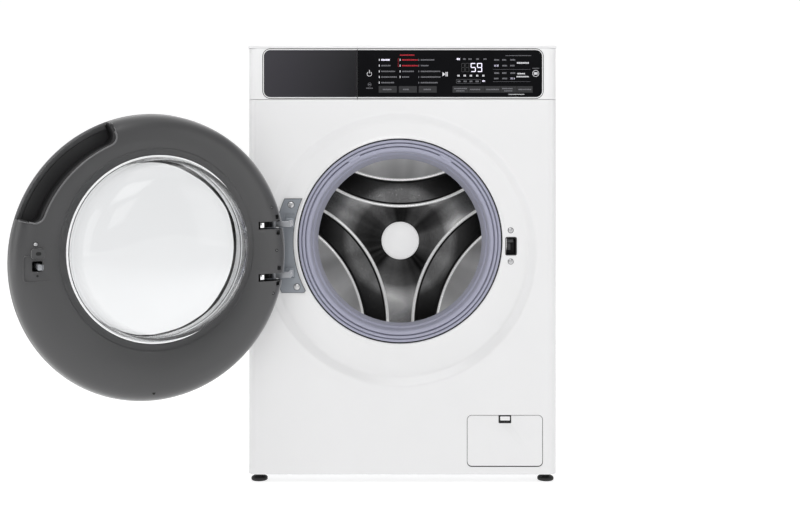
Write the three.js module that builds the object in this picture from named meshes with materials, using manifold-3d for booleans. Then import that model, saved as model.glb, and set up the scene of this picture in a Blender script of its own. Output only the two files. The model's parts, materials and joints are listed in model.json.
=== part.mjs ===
// A free-standing front load washing machine, 600 mm wide, with its door standing open.
// Millimetres, +Z up. X runs to the machine's right as it is faced, and +Y runs from its front to its back.
// The origin is the centre of the base plate's underside, so the floor lies one foot height below it.
// Lengths along the machine's depth are measured from the front panel's outer face, and heights from the floor.
import * as THREE from "three";
import { mergeVertices } from "three/addons/utils/BufferGeometryUtils.js";
import Module from "manifold-3d";

const wasm = await Module();
wasm.setup();

// ---- Driving dimensions ----
const width = 600;
const height = 850;
const depth = 475;
const footHeight = 18;
const gap = 0.4; // between pieces that touch
const sheet = 1.5; // steel sheet
const edgeRadius = 18; // rounded vertical edges of the front
const panelTop = 745; // top of the front panel, where the control fascia starts
const lidTop = height;
const lidUnder = 845.4;
const lidSkirt = 826;
const fasciaDepth = 34;
const rearInset = 12; // the back panel sits inside the side panels' rear edges

const portX = -5; // porthole axis
const portZ = 470;
const recess = { z: 454, crest: 264, floor: 248, depth: 12 };
const openingRadius = 201.5;
const lipDepth = 24;
const tilt = THREE.MathUtils.degToRad(4); // the drum's axis drops towards the back
const tiltDepth = 35; // depth at which that axis meets the porthole's centre

const hinge = { x: -246, depth: -39, open: THREE.MathUtils.degToRad(148), armZ: [506, 409], armHeight: 11 };
const door = { radius: 257, front: -52, rim: -29, inner: 2 };
const grip = { inner: 222, outer: 254, from: 17, to: 70 }; // finger recess, in degrees above the horizontal
const hook = { x: 211, z: 450 };
const lock = { x: 211.6, z: 460, halfWidth: 11.4, halfHeight: 18 };

const drawerRight = -88; // the joint between the drawer's front and the fascia
const glassTop = 841.5;
const glassBottom = 750;
const glassRight = 271;
const glassLeft = -269;
const glassCorner = 12.5;

const hatch = { x: 198.7, bottom: 32.6, top: 133.3, width: 147.4, corner: 9.4 };
const filterAxis = { x: 180, z: 85 };
const footX = 281;
const footInset = 32;

const drumRadius = 239;
const drumFront = 92;
const drumBack = 350;
const tubRadius = 262;
const tubWall = 3.5;
const tubJoint = 252;
const springDepth = 346;

const finish = (color, roughness, metalness) => new THREE.MeshStandardMaterial({ color, roughness, metalness });
const whitePaint = finish(0xf2f2f2, 0.35, 0);
const whitePlastic = finish(0xf0f0f0, 0.4, 0);
const blackGlass = finish(0x111114, 0.1, 0);
const greyPlastic = finish(0x555555, 0.5, 0);
const darkPlastic = finish(0x2c2c2c, 0.45, 0);
const greyMetal = finish(0x8d9197, 0.4, 0.8);
const stainless = finish(0xb9b9b9, 0.25, 1);
const rubber = finish(0xa3a5bd, 0.6, 0);
const blackRubber = finish(0x1c1c1c, 0.7, 0);
const tubPlastic = finish(0xd6d8d6, 0.6, 0);
const concrete = finish(0x8f8f8a, 0.9, 0);
const castAluminium = finish(0xa5a7a8, 0.5, 0.9);
const clearGlass = new THREE.MeshStandardMaterial({ color: 0xe8eeee, roughness: 0.05, transparent: true, opacity: 0.35 });
const zinc = finish(0xb4b6b4, 0.35, 0.9);

// ---- Making and joining solids ----
const frontY = -depth / 2;
const at = (d) => frontY + d; // a depth behind the front panel's face as a Y value

function solidOf(geometry) {
  const bare = geometry.index ? geometry.toNonIndexed() : geometry.clone();
  bare.deleteAttribute("normal");
  bare.deleteAttribute("uv");
  const merged = mergeVertices(bare, 1e-3);
  const mesh = new wasm.Mesh({
    numProp: 3,
    vertProperties: new Float32Array(merged.attributes.position.array),
    triVerts: new Uint32Array(merged.index.array),
  });
  return new wasm.Manifold(mesh);
}

function geometryOf(solid) {
  const mesh = solid.getMesh();
  const positions = new Float32Array(mesh.numVert * 3);
  for (let i = 0; i < mesh.numVert; i++) {
    positions.set(mesh.vertProperties.subarray(i * mesh.numProp, i * mesh.numProp + 3), i * 3);
  }
  const geometry = new THREE.BufferGeometry();
  geometry.setAttribute("position", new THREE.BufferAttribute(positions, 3));
  geometry.setIndex(new THREE.BufferAttribute(new Uint32Array(mesh.triVerts), 1));
  return geometry;
}

const join = (...solids) => solids.reduce((a, b) => a.add(b));
const cut = (solid, ...tools) => tools.reduce((a, b) => a.subtract(b), solid);

// A block between two corners.
function block(x0, x1, y0, y1, z0, z1) {
  const g = new THREE.BoxGeometry(x1 - x0, y1 - y0, z1 - z0);
  return solidOf(g.translate((x0 + x1) / 2, (y0 + y1) / 2, (z0 + z1) / 2));
}

// A solid turned about a line parallel to Y through (x, z). Its profile is a list of [radius, y].
function turned(profile, segments, x = 0, z = 0) {
  const area = profile.reduce((sum, [r, y], i) => {
    const [r2, y2] = profile[(i + 1) % profile.length];
    return sum + r * y2 - r2 * y;
  }, 0);
  const ordered = area > 0 ? profile : [...profile].reverse();
  const points = ordered.map(([r, y]) => new THREE.Vector2(r, y));
  const onAxis = ordered.findIndex(([r], i) => r === 0 && ordered[(i + ordered.length - 1) % ordered.length][0] === 0);
  if (onAxis >= 0) points.push(...points.splice(0, onAxis));
  else points.push(points[0].clone());
  return solidOf(new THREE.LatheGeometry(points, segments).translate(x, 0, z));
}

const ring = (r0, r1, y0, y1, segments, x = 0, z = 0) =>
  turned([[r0, y0], [r1, y0], [r1, y1], [r0, y1]], segments, x, z);

const rod = (r, y0, y1, segments, x = 0, z = 0) =>
  turned([[0, y0], [r, y0], [r, y1], [0, y1]], segments, x, z);

// The same turned about a vertical line, from a list of [radius, z].
function turnedUpright(profile, segments, x, y) {
  const solid = turned(profile.map(([r, z]) => [r, z]), segments);
  return solid.rotate([90, 0, 0]).translate([x, y, 0]);
}

// An outline in the XZ plane, given a thickness along Y.
function slab(shape, y0, y1, curveSegments = 8) {
  const g = new THREE.ExtrudeGeometry(shape, { depth: y1 - y0, bevelEnabled: false, curveSegments });
  return solidOf(g.rotateX(Math.PI / 2).translate(0, y1, 0));
}

// An outline in the XY plane, given a height along Z.
function prism(shape, z0, z1, curveSegments = 8) {
  const g = new THREE.ExtrudeGeometry(shape, { depth: z1 - z0, bevelEnabled: false, curveSegments });
  return solidOf(g.translate(0, 0, z0));
}

// A rectangle with its own radius at each corner, in the order bottom left, bottom right, top right, top left.
function roundedBox(x0, x1, z0, z1, radii) {
  const [bl, br, tr, tl] = typeof radii === "number" ? [radii, radii, radii, radii] : radii;
  const s = new THREE.Shape();
  s.moveTo(x0 + bl, z0);
  s.lineTo(x1 - br, z0);
  if (br) s.absarc(x1 - br, z0 + br, br, -Math.PI / 2, 0);
  s.lineTo(x1, z1 - tr);
  if (tr) s.absarc(x1 - tr, z1 - tr, tr, 0, Math.PI / 2);
  s.lineTo(x0 + tl, z1);
  if (tl) s.absarc(x0 + tl, z1 - tl, tl, Math.PI / 2, Math.PI);
  s.lineTo(x0, z0 + bl);
  if (bl) s.absarc(x0 + bl, z0 + bl, bl, Math.PI, 1.5 * Math.PI);
  return s;
}

// Part of a ring between two angles, in degrees, as an outline.
function sector(x, z, r0, r1, from, to) {
  const a = THREE.MathUtils.degToRad(from);
  const b = THREE.MathUtils.degToRad(to);
  const s = new THREE.Shape();
  s.absarc(x, z, r1, a, b, false);
  s.absarc(x, z, r0, b, a, true);
  s.closePath();
  return s;
}

function polygon(points) {
  const s = new THREE.Shape();
  points.forEach(([x, y], i) => (i ? s.lineTo(x, y) : s.moveTo(x, y)));
  s.closePath();
  return s;
}

// A round tube along a smooth route.
function tubeAlong(points, radius, steps, sides) {
  const curve = new THREE.CatmullRomCurve3(points.map((p) => new THREE.Vector3(...p)));
  const section = new THREE.Shape();
  for (let i = 0; i < sides; i++) {
    const a = (2 * Math.PI * i) / sides;
    const p = [radius * Math.cos(a), radius * Math.sin(a)];
    if (i) section.lineTo(...p);
    else section.moveTo(...p);
  }
  section.closePath();
  return solidOf(new THREE.ExtrudeGeometry(section, { steps, extrudePath: curve, bevelEnabled: false }));
}

// ---- The assembly's frames ----
const machine = new THREE.Group();
machine.position.z = -footHeight;
const root = new THREE.Group();
root.add(machine);

const tubFrame = new THREE.Group(); // local Y is depth along the drum's axis, from the front panel's face
tubFrame.position.set(portX, at(tiltDepth), portZ);
tubFrame.rotation.x = -tilt;
const tubOrigin = new THREE.Group();
tubOrigin.position.y = -tiltDepth;
tubFrame.add(tubOrigin);

const doorFrame = new THREE.Group(); // modelled shut, then swung open about the hinge
doorFrame.position.set(hinge.x, at(hinge.depth), 0);
doorFrame.rotation.z = -hinge.open;
const doorOrigin = new THREE.Group();
doorOrigin.position.set(-hinge.x, -at(hinge.depth), 0);
doorFrame.add(doorOrigin);
machine.add(tubFrame, doorFrame);

function place(name, solid, material, parent = machine) {
  const mesh = new THREE.Mesh(geometryOf(solid), material);
  mesh.name = name;
  parent.add(mesh);
}

// ---- Cabinet ----
const halfWidth = width / 2;
const rearY = depth / 2;

// The front's section seen from above: flat, with rounded edges that turn back along the sides.
function frontSection(x0, x1, back, wall, roundLeft, roundRight) {
  const run = (inset) => {
    const r = edgeRadius - inset;
    const points = [];
    const corner = (cx, from, to) => {
      for (let i = 0; i <= 6; i++) {
        const a = from + ((to - from) * i) / 6;
        points.push([cx + r * Math.cos(a), at(edgeRadius) + r * Math.sin(a)]);
      }
    };
    if (roundLeft) {
      points.push([x0 + inset, at(back)]);
      corner(x0 + edgeRadius, Math.PI, 1.5 * Math.PI);
    } else points.push([x0 + inset, at(back)], [x0 + inset, at(inset)]);
    if (roundRight) {
      corner(x1 - edgeRadius, 1.5 * Math.PI, 2 * Math.PI);
      points.push([x1 - inset, at(back)]);
    } else points.push([x1 - inset, at(inset)], [x1 - inset, at(back)]);
    return points;
  };
  return polygon([...run(0), ...run(wall).reverse()]);
}

function frontPanel() {
  const bottomCorner = 12;
  const skin = prism(frontSection(-halfWidth, halfWidth, 34, sheet, true, true), footHeight, panelTop);
  const outline = slab(
    roundedBox(-halfWidth - 1, halfWidth + 1, footHeight, panelTop + 1, [bottomCorner, bottomCorner, 0, 0]),
    at(-1), at(36),
  );
  const dish = turned(
    [
      [0, at(recess.depth)],
      [recess.floor, at(recess.depth)],
      [recess.crest, at(0)],
      [recess.crest + 2.5, at(0)],
      [recess.crest + 2.5, at(sheet)],
      [recess.crest + 0.8, at(sheet)],
      [recess.floor + 0.8, at(recess.depth + sheet)],
      [0, at(recess.depth + sheet)],
    ],
    44, portX, recess.z,
  );
  const lip = ring(openingRadius, openingRadius + sheet, at(recess.depth), at(lipDepth), 44, portX, portZ);
  const hatchHole = slab(
    roundedBox(hatch.x - hatch.width / 2, hatch.x + hatch.width / 2, hatch.bottom, hatch.top, hatch.corner),
    at(-2), at(4),
  );
  const lockHole = slab(
    roundedBox(lock.x - lock.halfWidth, lock.x + lock.halfWidth, lock.z - lock.halfHeight, lock.z + lock.halfHeight, 3),
    at(8), at(18),
  );
  return cut(
    join(
      cut(
        join(cut(skin.intersect(outline), rod(recess.crest + 1, at(-2), at(4), 44, portX, recess.z)), dish),
        rod(openingRadius, at(5), at(20), 44, portX, portZ),
      ),
      lip,
    ),
    hatchHole, lockHole,
  );
}

function cabinet() {
  const trayHeight = 24;
  const trayBack = rearY - rearInset - sheet - gap;
  const tray = cut(
    block(-296, 296, at(12), trayBack, footHeight, footHeight + trayHeight),
    block(-293, 293, at(11), trayBack - 3, footHeight + 3, footHeight + trayHeight + 1),
  );
  const studHoles = [-footX, footX].flatMap((x) =>
    [at(footInset), rearY - footInset].map((y) => turnedUpright([[0, 10], [5.6, 10], [5.6, 60], [0, 60]], 16, x, y)));
  place("base_frame", cut(tray, ...studHoles), zinc);

  const footProfile = [[0, 0], [15, 0], [16, 1.5], [16, 5.5], [13, 7.5], [8.5, 8], [8.5, 15], [5, 15], [5, 44], [0, 44]];
  const corners = { left: -footX, right: footX };
  for (const [side, x] of Object.entries(corners)) {
    for (const [end, y] of [["front", at(footInset)], ["rear", rearY - footInset]]) {
      place(`${end}_${side}_foot`, turnedUpright(footProfile, 14, x, y), blackRubber);
    }
  }

  place("front_panel", frontPanel(), whitePaint);
  for (const [side, x0] of [["left", -halfWidth], ["right", halfWidth - sheet]]) {
    place(`${side}_side_panel`, block(x0, x0 + sheet, at(34.5), rearY, footHeight, lidSkirt - gap), whitePaint);
  }
  const back = rearY - rearInset;
  const backPanel = block(-halfWidth + sheet + gap, halfWidth - sheet - gap, back - sheet, back, footHeight + 1, 825);
  place(
    "rear_panel",
    cut(
      backPanel,
      rod(14.5, back - 5, back + 5, 16, -200, 790),
      rod(11.5, back - 5, back + 5, 16, 225, 690),
      rod(14, back - 5, back + 5, 16, 250, 620),
    ),
    zinc,
  );
  const lid = join(
    block(-299.5, 299.5, at(0), rearY, lidUnder, lidTop),
    block(-299.5, -296.5, at(fasciaDepth + 1), rearY, lidSkirt, lidUnder + 1),
    block(296.5, 299.5, at(fasciaDepth + 1), rearY, lidSkirt, lidUnder + 1),
    block(-299.5, 299.5, rearY - 3, rearY, lidSkirt, lidUnder + 1),
  );
  place("top_panel", lid, whitePaint);
  const brace = cut(
    block(-295, 295, at(springDepth - 15), at(springDepth + 15), 808, 825.5),
    block(-300, 300, at(springDepth - 13), at(springDepth + 13), 810, 830),
  );
  place("top_brace", brace, zinc);
}

// The control fascia and the drawer's front share one section: a shell open at the back.
function frontShell(x0, x1, roundLeft, roundRight) {
  const bottom = panelTop + 0.8;
  const top = lidUnder - gap;
  const wall = 3;
  const shell = prism(frontSection(x0, x1, fasciaDepth, wall, roundLeft, roundRight), bottom, top);
  const full = prism(frontSection(x0, x1, fasciaDepth, edgeRadius - 1, roundLeft, roundRight), bottom, top);
  const capFilling = block(x0 + edgeRadius - 2, x1 - edgeRadius + 2, at(2), at(fasciaDepth), bottom, top);
  const caps = join(full, capFilling).subtract(block(x0 - 1, x1 + 1, at(-1), at(fasciaDepth + 1), bottom + wall, top - wall));
  const thickFront = block(x0 + (roundLeft ? edgeRadius : 0), x1 - (roundRight ? edgeRadius : 0), at(0), at(5.5), bottom, top);
  return join(shell, caps, thickFront);
}

function controls() {
  const inlayDepth = 2.2;
  const glassOutline = (grow) =>
    roundedBox(drawerRight + 1.3 - grow, glassRight + grow, glassBottom - grow, glassTop + grow, [0, glassCorner, glassCorner, 0]);
  const fascia = frontShell(drawerRight + 1, 299.5, false, true);
  place("control_fascia", cut(fascia, slab(glassOutline(0.35), at(-1), at(inlayDepth + 0.3))), whitePlastic);
  place("control_glass", slab(glassOutline(0), at(-0.3), at(inlayDepth)), blackGlass);
  place("main_board_case", block(195, 288, at(250), at(440), 745, 800), greyPlastic);

  const back = rearY - rearInset;
  const valve = join(
    block(-235, -165, at(392), back - sheet - 2, 772, 808),
    rod(13, at(440), rearY, 24, -200, 790),
    rod(8, at(360), at(400), 16, -200, 790),
  );
  const outlet = rod(5, at(355), at(380), 16, -200, 790);
  const bore = rod(9, rearY - 22, rearY + 1, 24, -200, 790);
  place("inlet_valve", cut(valve, outlet, bore), whitePlastic);
  const gland = join(rod(10.5, back - 14, back + 8, 16, 225, 690), rod(15, back + gap, back + 4, 16, 225, 690));
  place("mains_gland", cut(gland, rod(4.5, back - 20, back + 12, 12, 225, 690)), blackRubber);
}

// ---- Detergent drawer ----
function drawer() {
  const inlayDepth = 2.2;
  const outline = (grow) =>
    roundedBox(glassLeft - grow, drawerRight - 0.8 + grow, glassBottom - grow, glassTop + grow, [glassCorner, 0, 0, glassCorner]);
  const front = frontShell(-299.5, drawerRight, true, false);
  place("drawer_front", cut(front, slab(outline(0.35), at(-1), at(inlayDepth + 0.3))), whitePlastic);
  place("drawer_inlay", slab(outline(0), at(-0.3), at(inlayDepth)), blackGlass);

  const tray = { x0: -284, x1: -101, y0: at(6), y1: at(268), z0: 753, z1: 822, wall: 2.5 };
  const bay = (x0, x1, y0, y1) => block(x0, x1, y0, y1, tray.z0 + tray.wall, tray.z1 + 1);
  const inner = { x0: tray.x0 + tray.wall, x1: tray.x1 - tray.wall, y0: tray.y0 + tray.wall, y1: tray.y1 - tray.wall };
  const split = -166;
  place(
    "drawer_tray",
    cut(
      block(tray.x0, tray.x1, tray.y0, tray.y1, tray.z0, tray.z1),
      bay(inner.x0, split - 1.25, inner.y0, at(128)),
      bay(inner.x0, split - 1.25, at(130.5), inner.y1),
      bay(split + 1.25, inner.x1, inner.y0, inner.y1),
    ),
    whitePlastic,
  );
  const housing = { x0: -292, x1: -94, y0: at(fasciaDepth + 1), y1: at(300), z0: 746, z1: 832, wall: 2.5 };
  const cavity = block(
    housing.x0 + housing.wall, housing.x1 - housing.wall, housing.y0 - 1, housing.y1 - housing.wall,
    housing.z0 + housing.wall, housing.z1 - housing.wall,
  );
  const spout = turnedUpright([[0, 736], [17, 736], [17, 747], [0, 747]], 16, -135, at(282));
  const drainHole = turnedUpright([[0, 730], [14.5, 730], [14.5, 752], [0, 752]], 16, -135, at(282));
  place(
    "dispenser_housing",
    cut(join(block(housing.x0, housing.x1, housing.y0, housing.y1, housing.z0, housing.z1), spout), cavity, drainHole),
    whitePlastic,
  );
}

// ---- Hinge, lock and drain hatch ----
function hingeAndLock() {
  const plate = cut(
    slab(roundedBox(-240, -190, 370, 552, 4), at(8.7), at(11.7)).intersect(rod(245, at(5), at(15), 72, portX, recess.z)),
    rod(208.5, at(5), at(15), 72, portX, portZ),
  );
  const arms = hinge.armZ.map((z) => {
    const half = hinge.armHeight / 2;
    const bar = block(hinge.x, -213, at(hinge.depth - 3), at(hinge.depth + 3), z - half, z + half);
    const leg = block(-219, -213, at(hinge.depth - 3), at(9), z - half, z + half);
    const eye = turnedUpright([[0, z - half], [5.2, z - half], [5.2, z + half], [0, z + half]], 16, hinge.x, at(hinge.depth));
    const pinHole = turnedUpright([[0, z - 10], [2.9, z - 10], [2.9, z + 10], [0, z + 10]], 12, hinge.x, at(hinge.depth));
    const root = block(-226, -206, at(6), at(9), z - half - 4, z + half + 4);
    return cut(join(bar, leg, eye, root), pinHole);
  });
  place("hinge_bracket", join(plate, ...arms), greyMetal);

  const body = block(198.8, 231, at(14), at(56), lock.z - 30, lock.z + 30);
  const inset = (by) => roundedBox(
    lock.x - lock.halfWidth + by, lock.x + lock.halfWidth - by,
    lock.z - lock.halfHeight + by, lock.z + lock.halfHeight - by, 2.5,
  );
  const bezel = slab(inset(0.4), at(11), at(15));
  const slot = slab(inset(1.8), at(8), at(44));
  place("door_lock", cut(join(body, bezel), slot), darkPlastic);
}

function drainHatch() {
  const pocket = { x0: 118, x1: 279, z0: 27, z1: 139, back: 26, wall: 2 };
  const shell = cut(
    block(pocket.x0, pocket.x1, at(2), at(pocket.back), pocket.z0, pocket.z1),
    block(pocket.x0 + pocket.wall, pocket.x1 - pocket.wall, at(1), at(pocket.back - pocket.wall), pocket.z0 + pocket.wall, pocket.z1 - pocket.wall),
  );
  place("hatch_frame", cut(shell, rod(38.5, at(10), at(40), 24, filterAxis.x, filterAxis.z)), whitePlastic);

  const clear = 1;
  const hingeZ = hatch.bottom + 3.6;
  const flap = slab(
    roundedBox(
      hatch.x - hatch.width / 2 + clear, hatch.x + hatch.width / 2 - clear,
      hatch.bottom + 2, hatch.top - clear, hatch.corner - clear,
    ),
    at(0), at(2.2),
  );
  const latchNotch = block(hatch.x - 12.3, hatch.x + 12.3, at(-1), at(5), hatch.top - 16, hatch.top + 2);
  const lugs = [-50, 42].map((x) =>
    solidOf(new THREE.CylinderGeometry(2.2, 2.2, 8, 12).rotateZ(Math.PI / 2).translate(hatch.x + x + 4, at(2.5), hingeZ)));
  place("hatch_flap", cut(join(flap, ...lugs), latchNotch), whitePaint);
  const latch = join(
    block(hatch.x - 11.8, hatch.x + 11.8, at(0), at(2.2), hatch.top - 12, hatch.top - 1.3),
    block(hatch.x - 8, hatch.x + 8, at(2), at(6), hatch.top - 11, hatch.top - 2),
  );
  place("hatch_latch", latch, whitePlastic);

  const { x, z } = filterAxis;
  const knob = join(
    rod(35, at(16), at(27.5), 24, x, z),
    rod(37, at(27), at(30), 24, x, z),
    rod(30, at(29), at(92), 24, x, z),
    block(x - 26, x + 26, at(7), at(17), z - 5, z + 5),
  );
  place("drain_filter", cut(knob, rod(26, at(60), at(93), 24, x, z)), darkPlastic);
  const volute = cut(
    join(
      rod(44, at(30.5), at(110), 24, x, z),
      rod(30, at(109), at(165), 20, x, z),
      turnedUpright([[0, z], [22, z], [22, 136], [0, 136]], 16, x, at(72)),
      block(x + 20, x + 62, at(86), at(104), z - 9, z + 9),
    ),
    rod(32, at(29), at(100), 24, x, z),
    rod(38.2, at(29), at(32), 24, x, z),
    turnedUpright([[0, z], [18, z], [18, 140], [0, 140]], 16, x, at(72)),
  );
  place("drain_pump", volute, greyPlastic);
  const back = rearY - rearInset;
  const route = [
    [x + 65, at(95), z], [x + 76, at(97), z], [270, at(125), 95], [281, at(180), 170], [281, at(240), 420],
    [278, at(330), 600], [258, at(420), 622], [250, at(440), 620], [250, back + 10, 620],
  ];
  place("drain_hose", tubeAlong(route, 11, 26, 8), blackRubber);
}

// ---- Tub, seal and suspension ----
function gasketSolid() {
  const profile = [
    [200.4, 10], [190, 9], [187, 12], [180, 10.5], [175, 14], [170.5, 24], [165.5, 84], [173.5, 86], [177, 62], [183, 58],
    [196, 58], [196, 52], [184, 50], [180, 44], [192, 38], [203, 34], [203, 30], [197, 27], [200.4, 24],
  ];
  const straight = turned(profile, 34);
  // The seal's front lies flat in the panel and its rear follows the tilted tub.
  return straight.warp((p) => {
    const share = THREE.MathUtils.smoothstep(p[1], lipDepth, 50);
    const a = -tilt * share;
    const y = p[1] - tiltDepth;
    const z = p[2];
    p[0] += portX;
    p[1] = at(tiltDepth) + y * Math.cos(a) - z * Math.sin(a);
    p[2] = portZ + y * Math.sin(a) + z * Math.cos(a);
  });
}

function tub() {
  place("gasket", gasketSolid(), rubber);

  const inner = tubRadius - tubWall;
  const frontShellProfile = [
    [184.5, 59.5], [188, 59.5], [188, 73], [245, 79], [tubRadius, 92], [tubRadius, tubJoint - 6], [271, tubJoint - 6],
    [271, tubJoint], [inner, tubJoint], [inner, 94], [243, 82.5], [184.5, 76.5],
  ];
  const rearShellProfile = [
    [31, 372], [42, 372], [42, 393], [246, 391], [inner, 380], [inner, tubJoint + gap], [271, tubJoint + gap],
    [271, tubJoint + 6], [tubRadius, tubJoint + 6], [tubRadius, 383], [249, 397], [42, 400], [42, 434], [31, 434],
  ];
  const damperLugs = [235, 305].flatMap((angle) =>
    [-13, 9].map((offset) => block(-10, 10, 200 + offset, 204 + offset, -284, -260).rotate([0, -(angle - 270), 0])));
  const drain = cut(
    turnedUpright([[0, -278], [20, -278], [20, -240], [0, -240]], 16, 62, 130),
    rod(inner, 100, 200, 28),
  );
  place("tub_front", join(turned(frontShellProfile, 28), ...damperLugs, drain), tubPlastic, tubOrigin);
  const springLugs = [-170, 170].map((x) => block(x - 9, x + 9, 318.7, 341.3, 200, 246));
  const inlet = turnedUpright([[0, 219], [12, 219], [12, 245], [0, 245]], 12, -124.3, 270.7);
  const inletBore = turnedUpright([[0, 210], [9, 210], [9, 250], [0, 250]], 12, -124.3, 270.7);
  place("tub_rear", cut(join(turned(rearShellProfile, 28), ...springLugs, inlet), inletBore), tubPlastic, tubOrigin);

  place("front_counterweight", slab(sector(0, 0, 198, 252, 205, 335), 50, 71, 24), concrete, tubOrigin);
  place("top_counterweight", slab(sector(0, 0, tubRadius + gap, 300, 48, 92), 112, 232, 12), concrete, tubOrigin);

  const teeth = Array.from({ length: 9 }, (_, i) => block(110, 134, 406, 426, -15, 15).rotate([0, i * 40, 0]));
  const core = ring(43, 116, 404, 428, 32);
  place("stator", join(core, ...teeth), finish(0xb0623a, 0.5, 0.6), tubOrigin);

  const bearings = join(
    ring(15.4, 30.6, 374, 392, 20), ring(15.4, 30.6, 414, 430, 20), ring(15.4, 19, 390, 416, 20),
  );
  place("bearing_set", bearings, zinc, tubOrigin);

  const heaterLevel = -248.5;
  const heater = tubeAlong(
    [[-22, 382, heaterLevel], [-22, 300, heaterLevel], [-22, 170, heaterLevel], [-12, 146, heaterLevel],
      [12, 146, heaterLevel], [22, 170, heaterLevel], [22, 300, heaterLevel], [22, 382, heaterLevel]],
    3.5, 24, 6,
  );
  place("tub_heater", heater, stainless, tubOrigin);
}

// A strut from the base to the tub: a tube on the cabinet and a rod on the tub that slides in it.
function dampers() {
  for (const [side, sign] of [["left", -1], ["right", 1]]) {
    const top = new THREE.Vector3(portX + sign * 157.2, at(184), 234.6);
    const foot = new THREE.Vector3(portX + sign * 205, at(184), 56);
    const span = top.clone().sub(foot);
    const lean = Math.atan2(span.x, span.z);
    const leaning = (solid) => solid.rotate([0, THREE.MathUtils.radToDeg(lean), 0]).translate([foot.x, foot.y, foot.z]);
    const upright = (profile, segments) => turnedUpright(profile, segments, 0, 0);
    const eye = (r, z) =>
      solidOf(new THREE.CylinderGeometry(r, r, 14, 16).translate(0, 0, z));
    const tube = cut(
      upright([[0, 2], [13, 2], [13, 112], [0, 112]], 16),
      upright([[0, 22], [9.8, 22], [9.8, 120], [0, 120]], 16),
    );
    const mount = block(foot.x - 14, foot.x + 14, foot.y - 8, foot.y + 8, footHeight + 3 + gap, foot.z + 6);
    place(`damper_tube_${side}`, join(leaning(tube), mount), darkPlastic);
    const length = span.length();
    place(
      `damper_rod_${side}`,
      leaning(join(upright([[0, 60], [5, 60], [5, length - 4], [0, length - 4]], 12), eye(8, length))),
      greyMetal,
    );
  }
}

function springs() {
  const turns = 7;
  const stepsPerTurn = 8;
  for (const [side, sign] of [["left", -1], ["right", 1]]) {
    const x = portX + sign * 170;
    const y = at(springDepth);
    const top = 807.5;
    const bottom = 697;
    const points = [];
    for (let i = 0; i <= turns * stepsPerTurn; i++) {
      const a = (2 * Math.PI * i) / stepsPerTurn;
      points.push([x + 11 * Math.cos(a), y + 11 * Math.sin(a), bottom + ((top - bottom - 4) * i) / (turns * stepsPerTurn)]);
    }
    place(`spring_${side}`, tubeAlong(points, 1.7, turns * stepsPerTurn, 4).translate([0, 0, 2]), zinc);
  }
}

function hoses() {
  const sump = [
    [portX + 62, at(110), 178.5], [portX + 66, at(108), 170], [portX + 100, at(92), 158],
    [filterAxis.x - 30, at(76), 160], [filterAxis.x - 3, at(72), 151], [filterAxis.x, at(72), 137],
  ];
  place("sump_hose", tubeAlong(sump, 17, 14, 8), blackRubber);
  const fill = [[-135, at(282), 735], [-135, at(282), 727], [-131, at(285), 708], [-130, at(285.5), 701.5]];
  place("dispenser_hose", tubeAlong(fill, 12, 8, 8), blackRubber);
  place("fill_hose", rod(8, at(300.4), at(359.6), 12, -200, 790), blackRubber);
}

// ---- Drum ----
function starOutline(innerReach) {
  // Three arms between three hollow arcs.
  const arcRadius = 300;
  const s = new THREE.Shape();
  for (let i = 0; i < 3; i++) {
    const middle = Math.PI / 2 + (i * 2 * Math.PI) / 3;
    const centre = innerReach + arcRadius;
    const cx = centre * Math.cos(middle);
    const cz = centre * Math.sin(middle);
    const spread = 0.58;
    for (let k = 0; k <= 8; k++) {
      const a = middle + Math.PI + spread * (1 - (2 * k) / 8);
      const p = [cx + arcRadius * Math.cos(a), cz + arcRadius * Math.sin(a)];
      if (i || k) s.lineTo(...p);
      else s.moveTo(...p);
    }
  }
  s.closePath();
  return s;
}

function drum() {
  const shell = turned(
    [
      [174, 97], [176, 92], [182, 91], [187, 96.5], [230, 102.5], [drumRadius, 111], [drumRadius, drumBack + 6],
      [drumRadius - 2, drumBack + 6], [drumRadius - 2, 112], [229, 104.5], [186, 98.5], [181, 93.5], [177.5, 94], [176.5, 97.5],
    ],
    36,
  );
  place("drum_shell", shell, stainless, tubOrigin);

  const disc = rod(drumRadius - 3, drumBack, drumBack + 2, 36);
  const star = slab(starOutline(80), drumBack - 8, drumBack + 1).intersect(rod(226, drumBack - 20, drumBack + 5, 36));
  place("drum_back", join(disc, star), stainless, tubOrigin);
  const capY = drumBack - 8 - gap;
  place(
    "drum_cap",
    turned([[0, capY - 11], [20, capY - 10.3], [35, capY - 7.5], [43, capY - 3.5], [45.6, capY], [0, capY]], 24),
    whitePlastic, tubOrigin,
  );
  for (let i = 0; i < 3; i++) {
    const lifter = slab(
      polygon([[-32, -233], [32, -233], [21, -212], [11, -190], [-11, -190], [-21, -212]]), 122, drumBack - 9,
    );
    place(`lifter_${i + 1}`, lifter.rotate([0, 60 + i * 120, 0]), whitePlastic, tubOrigin);
  }
  const arms = Array.from({ length: 3 }, (_, i) =>
    slab(polygon([[0, -27], [226, -17], [226, 17], [0, 27]]), drumBack + 8, drumBack + 21).rotate([0, 30 + i * 120, 0]));
  const hub = turned(
    [[0, drumBack + 6], [48, drumBack + 6], [48, drumBack + 21], [15, drumBack + 21], [15, 446], [0, 446]], 20,
  );
  place("drum_spider", join(hub, ...arms), castAluminium, tubOrigin);
  const rotor = turned(
    [[15.4, 436], [146, 436], [146, 407], [150, 407], [150, 439], [15.4, 439]], 36,
  );
  place("rotor", rotor, greyMetal, tubOrigin);
}

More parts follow.
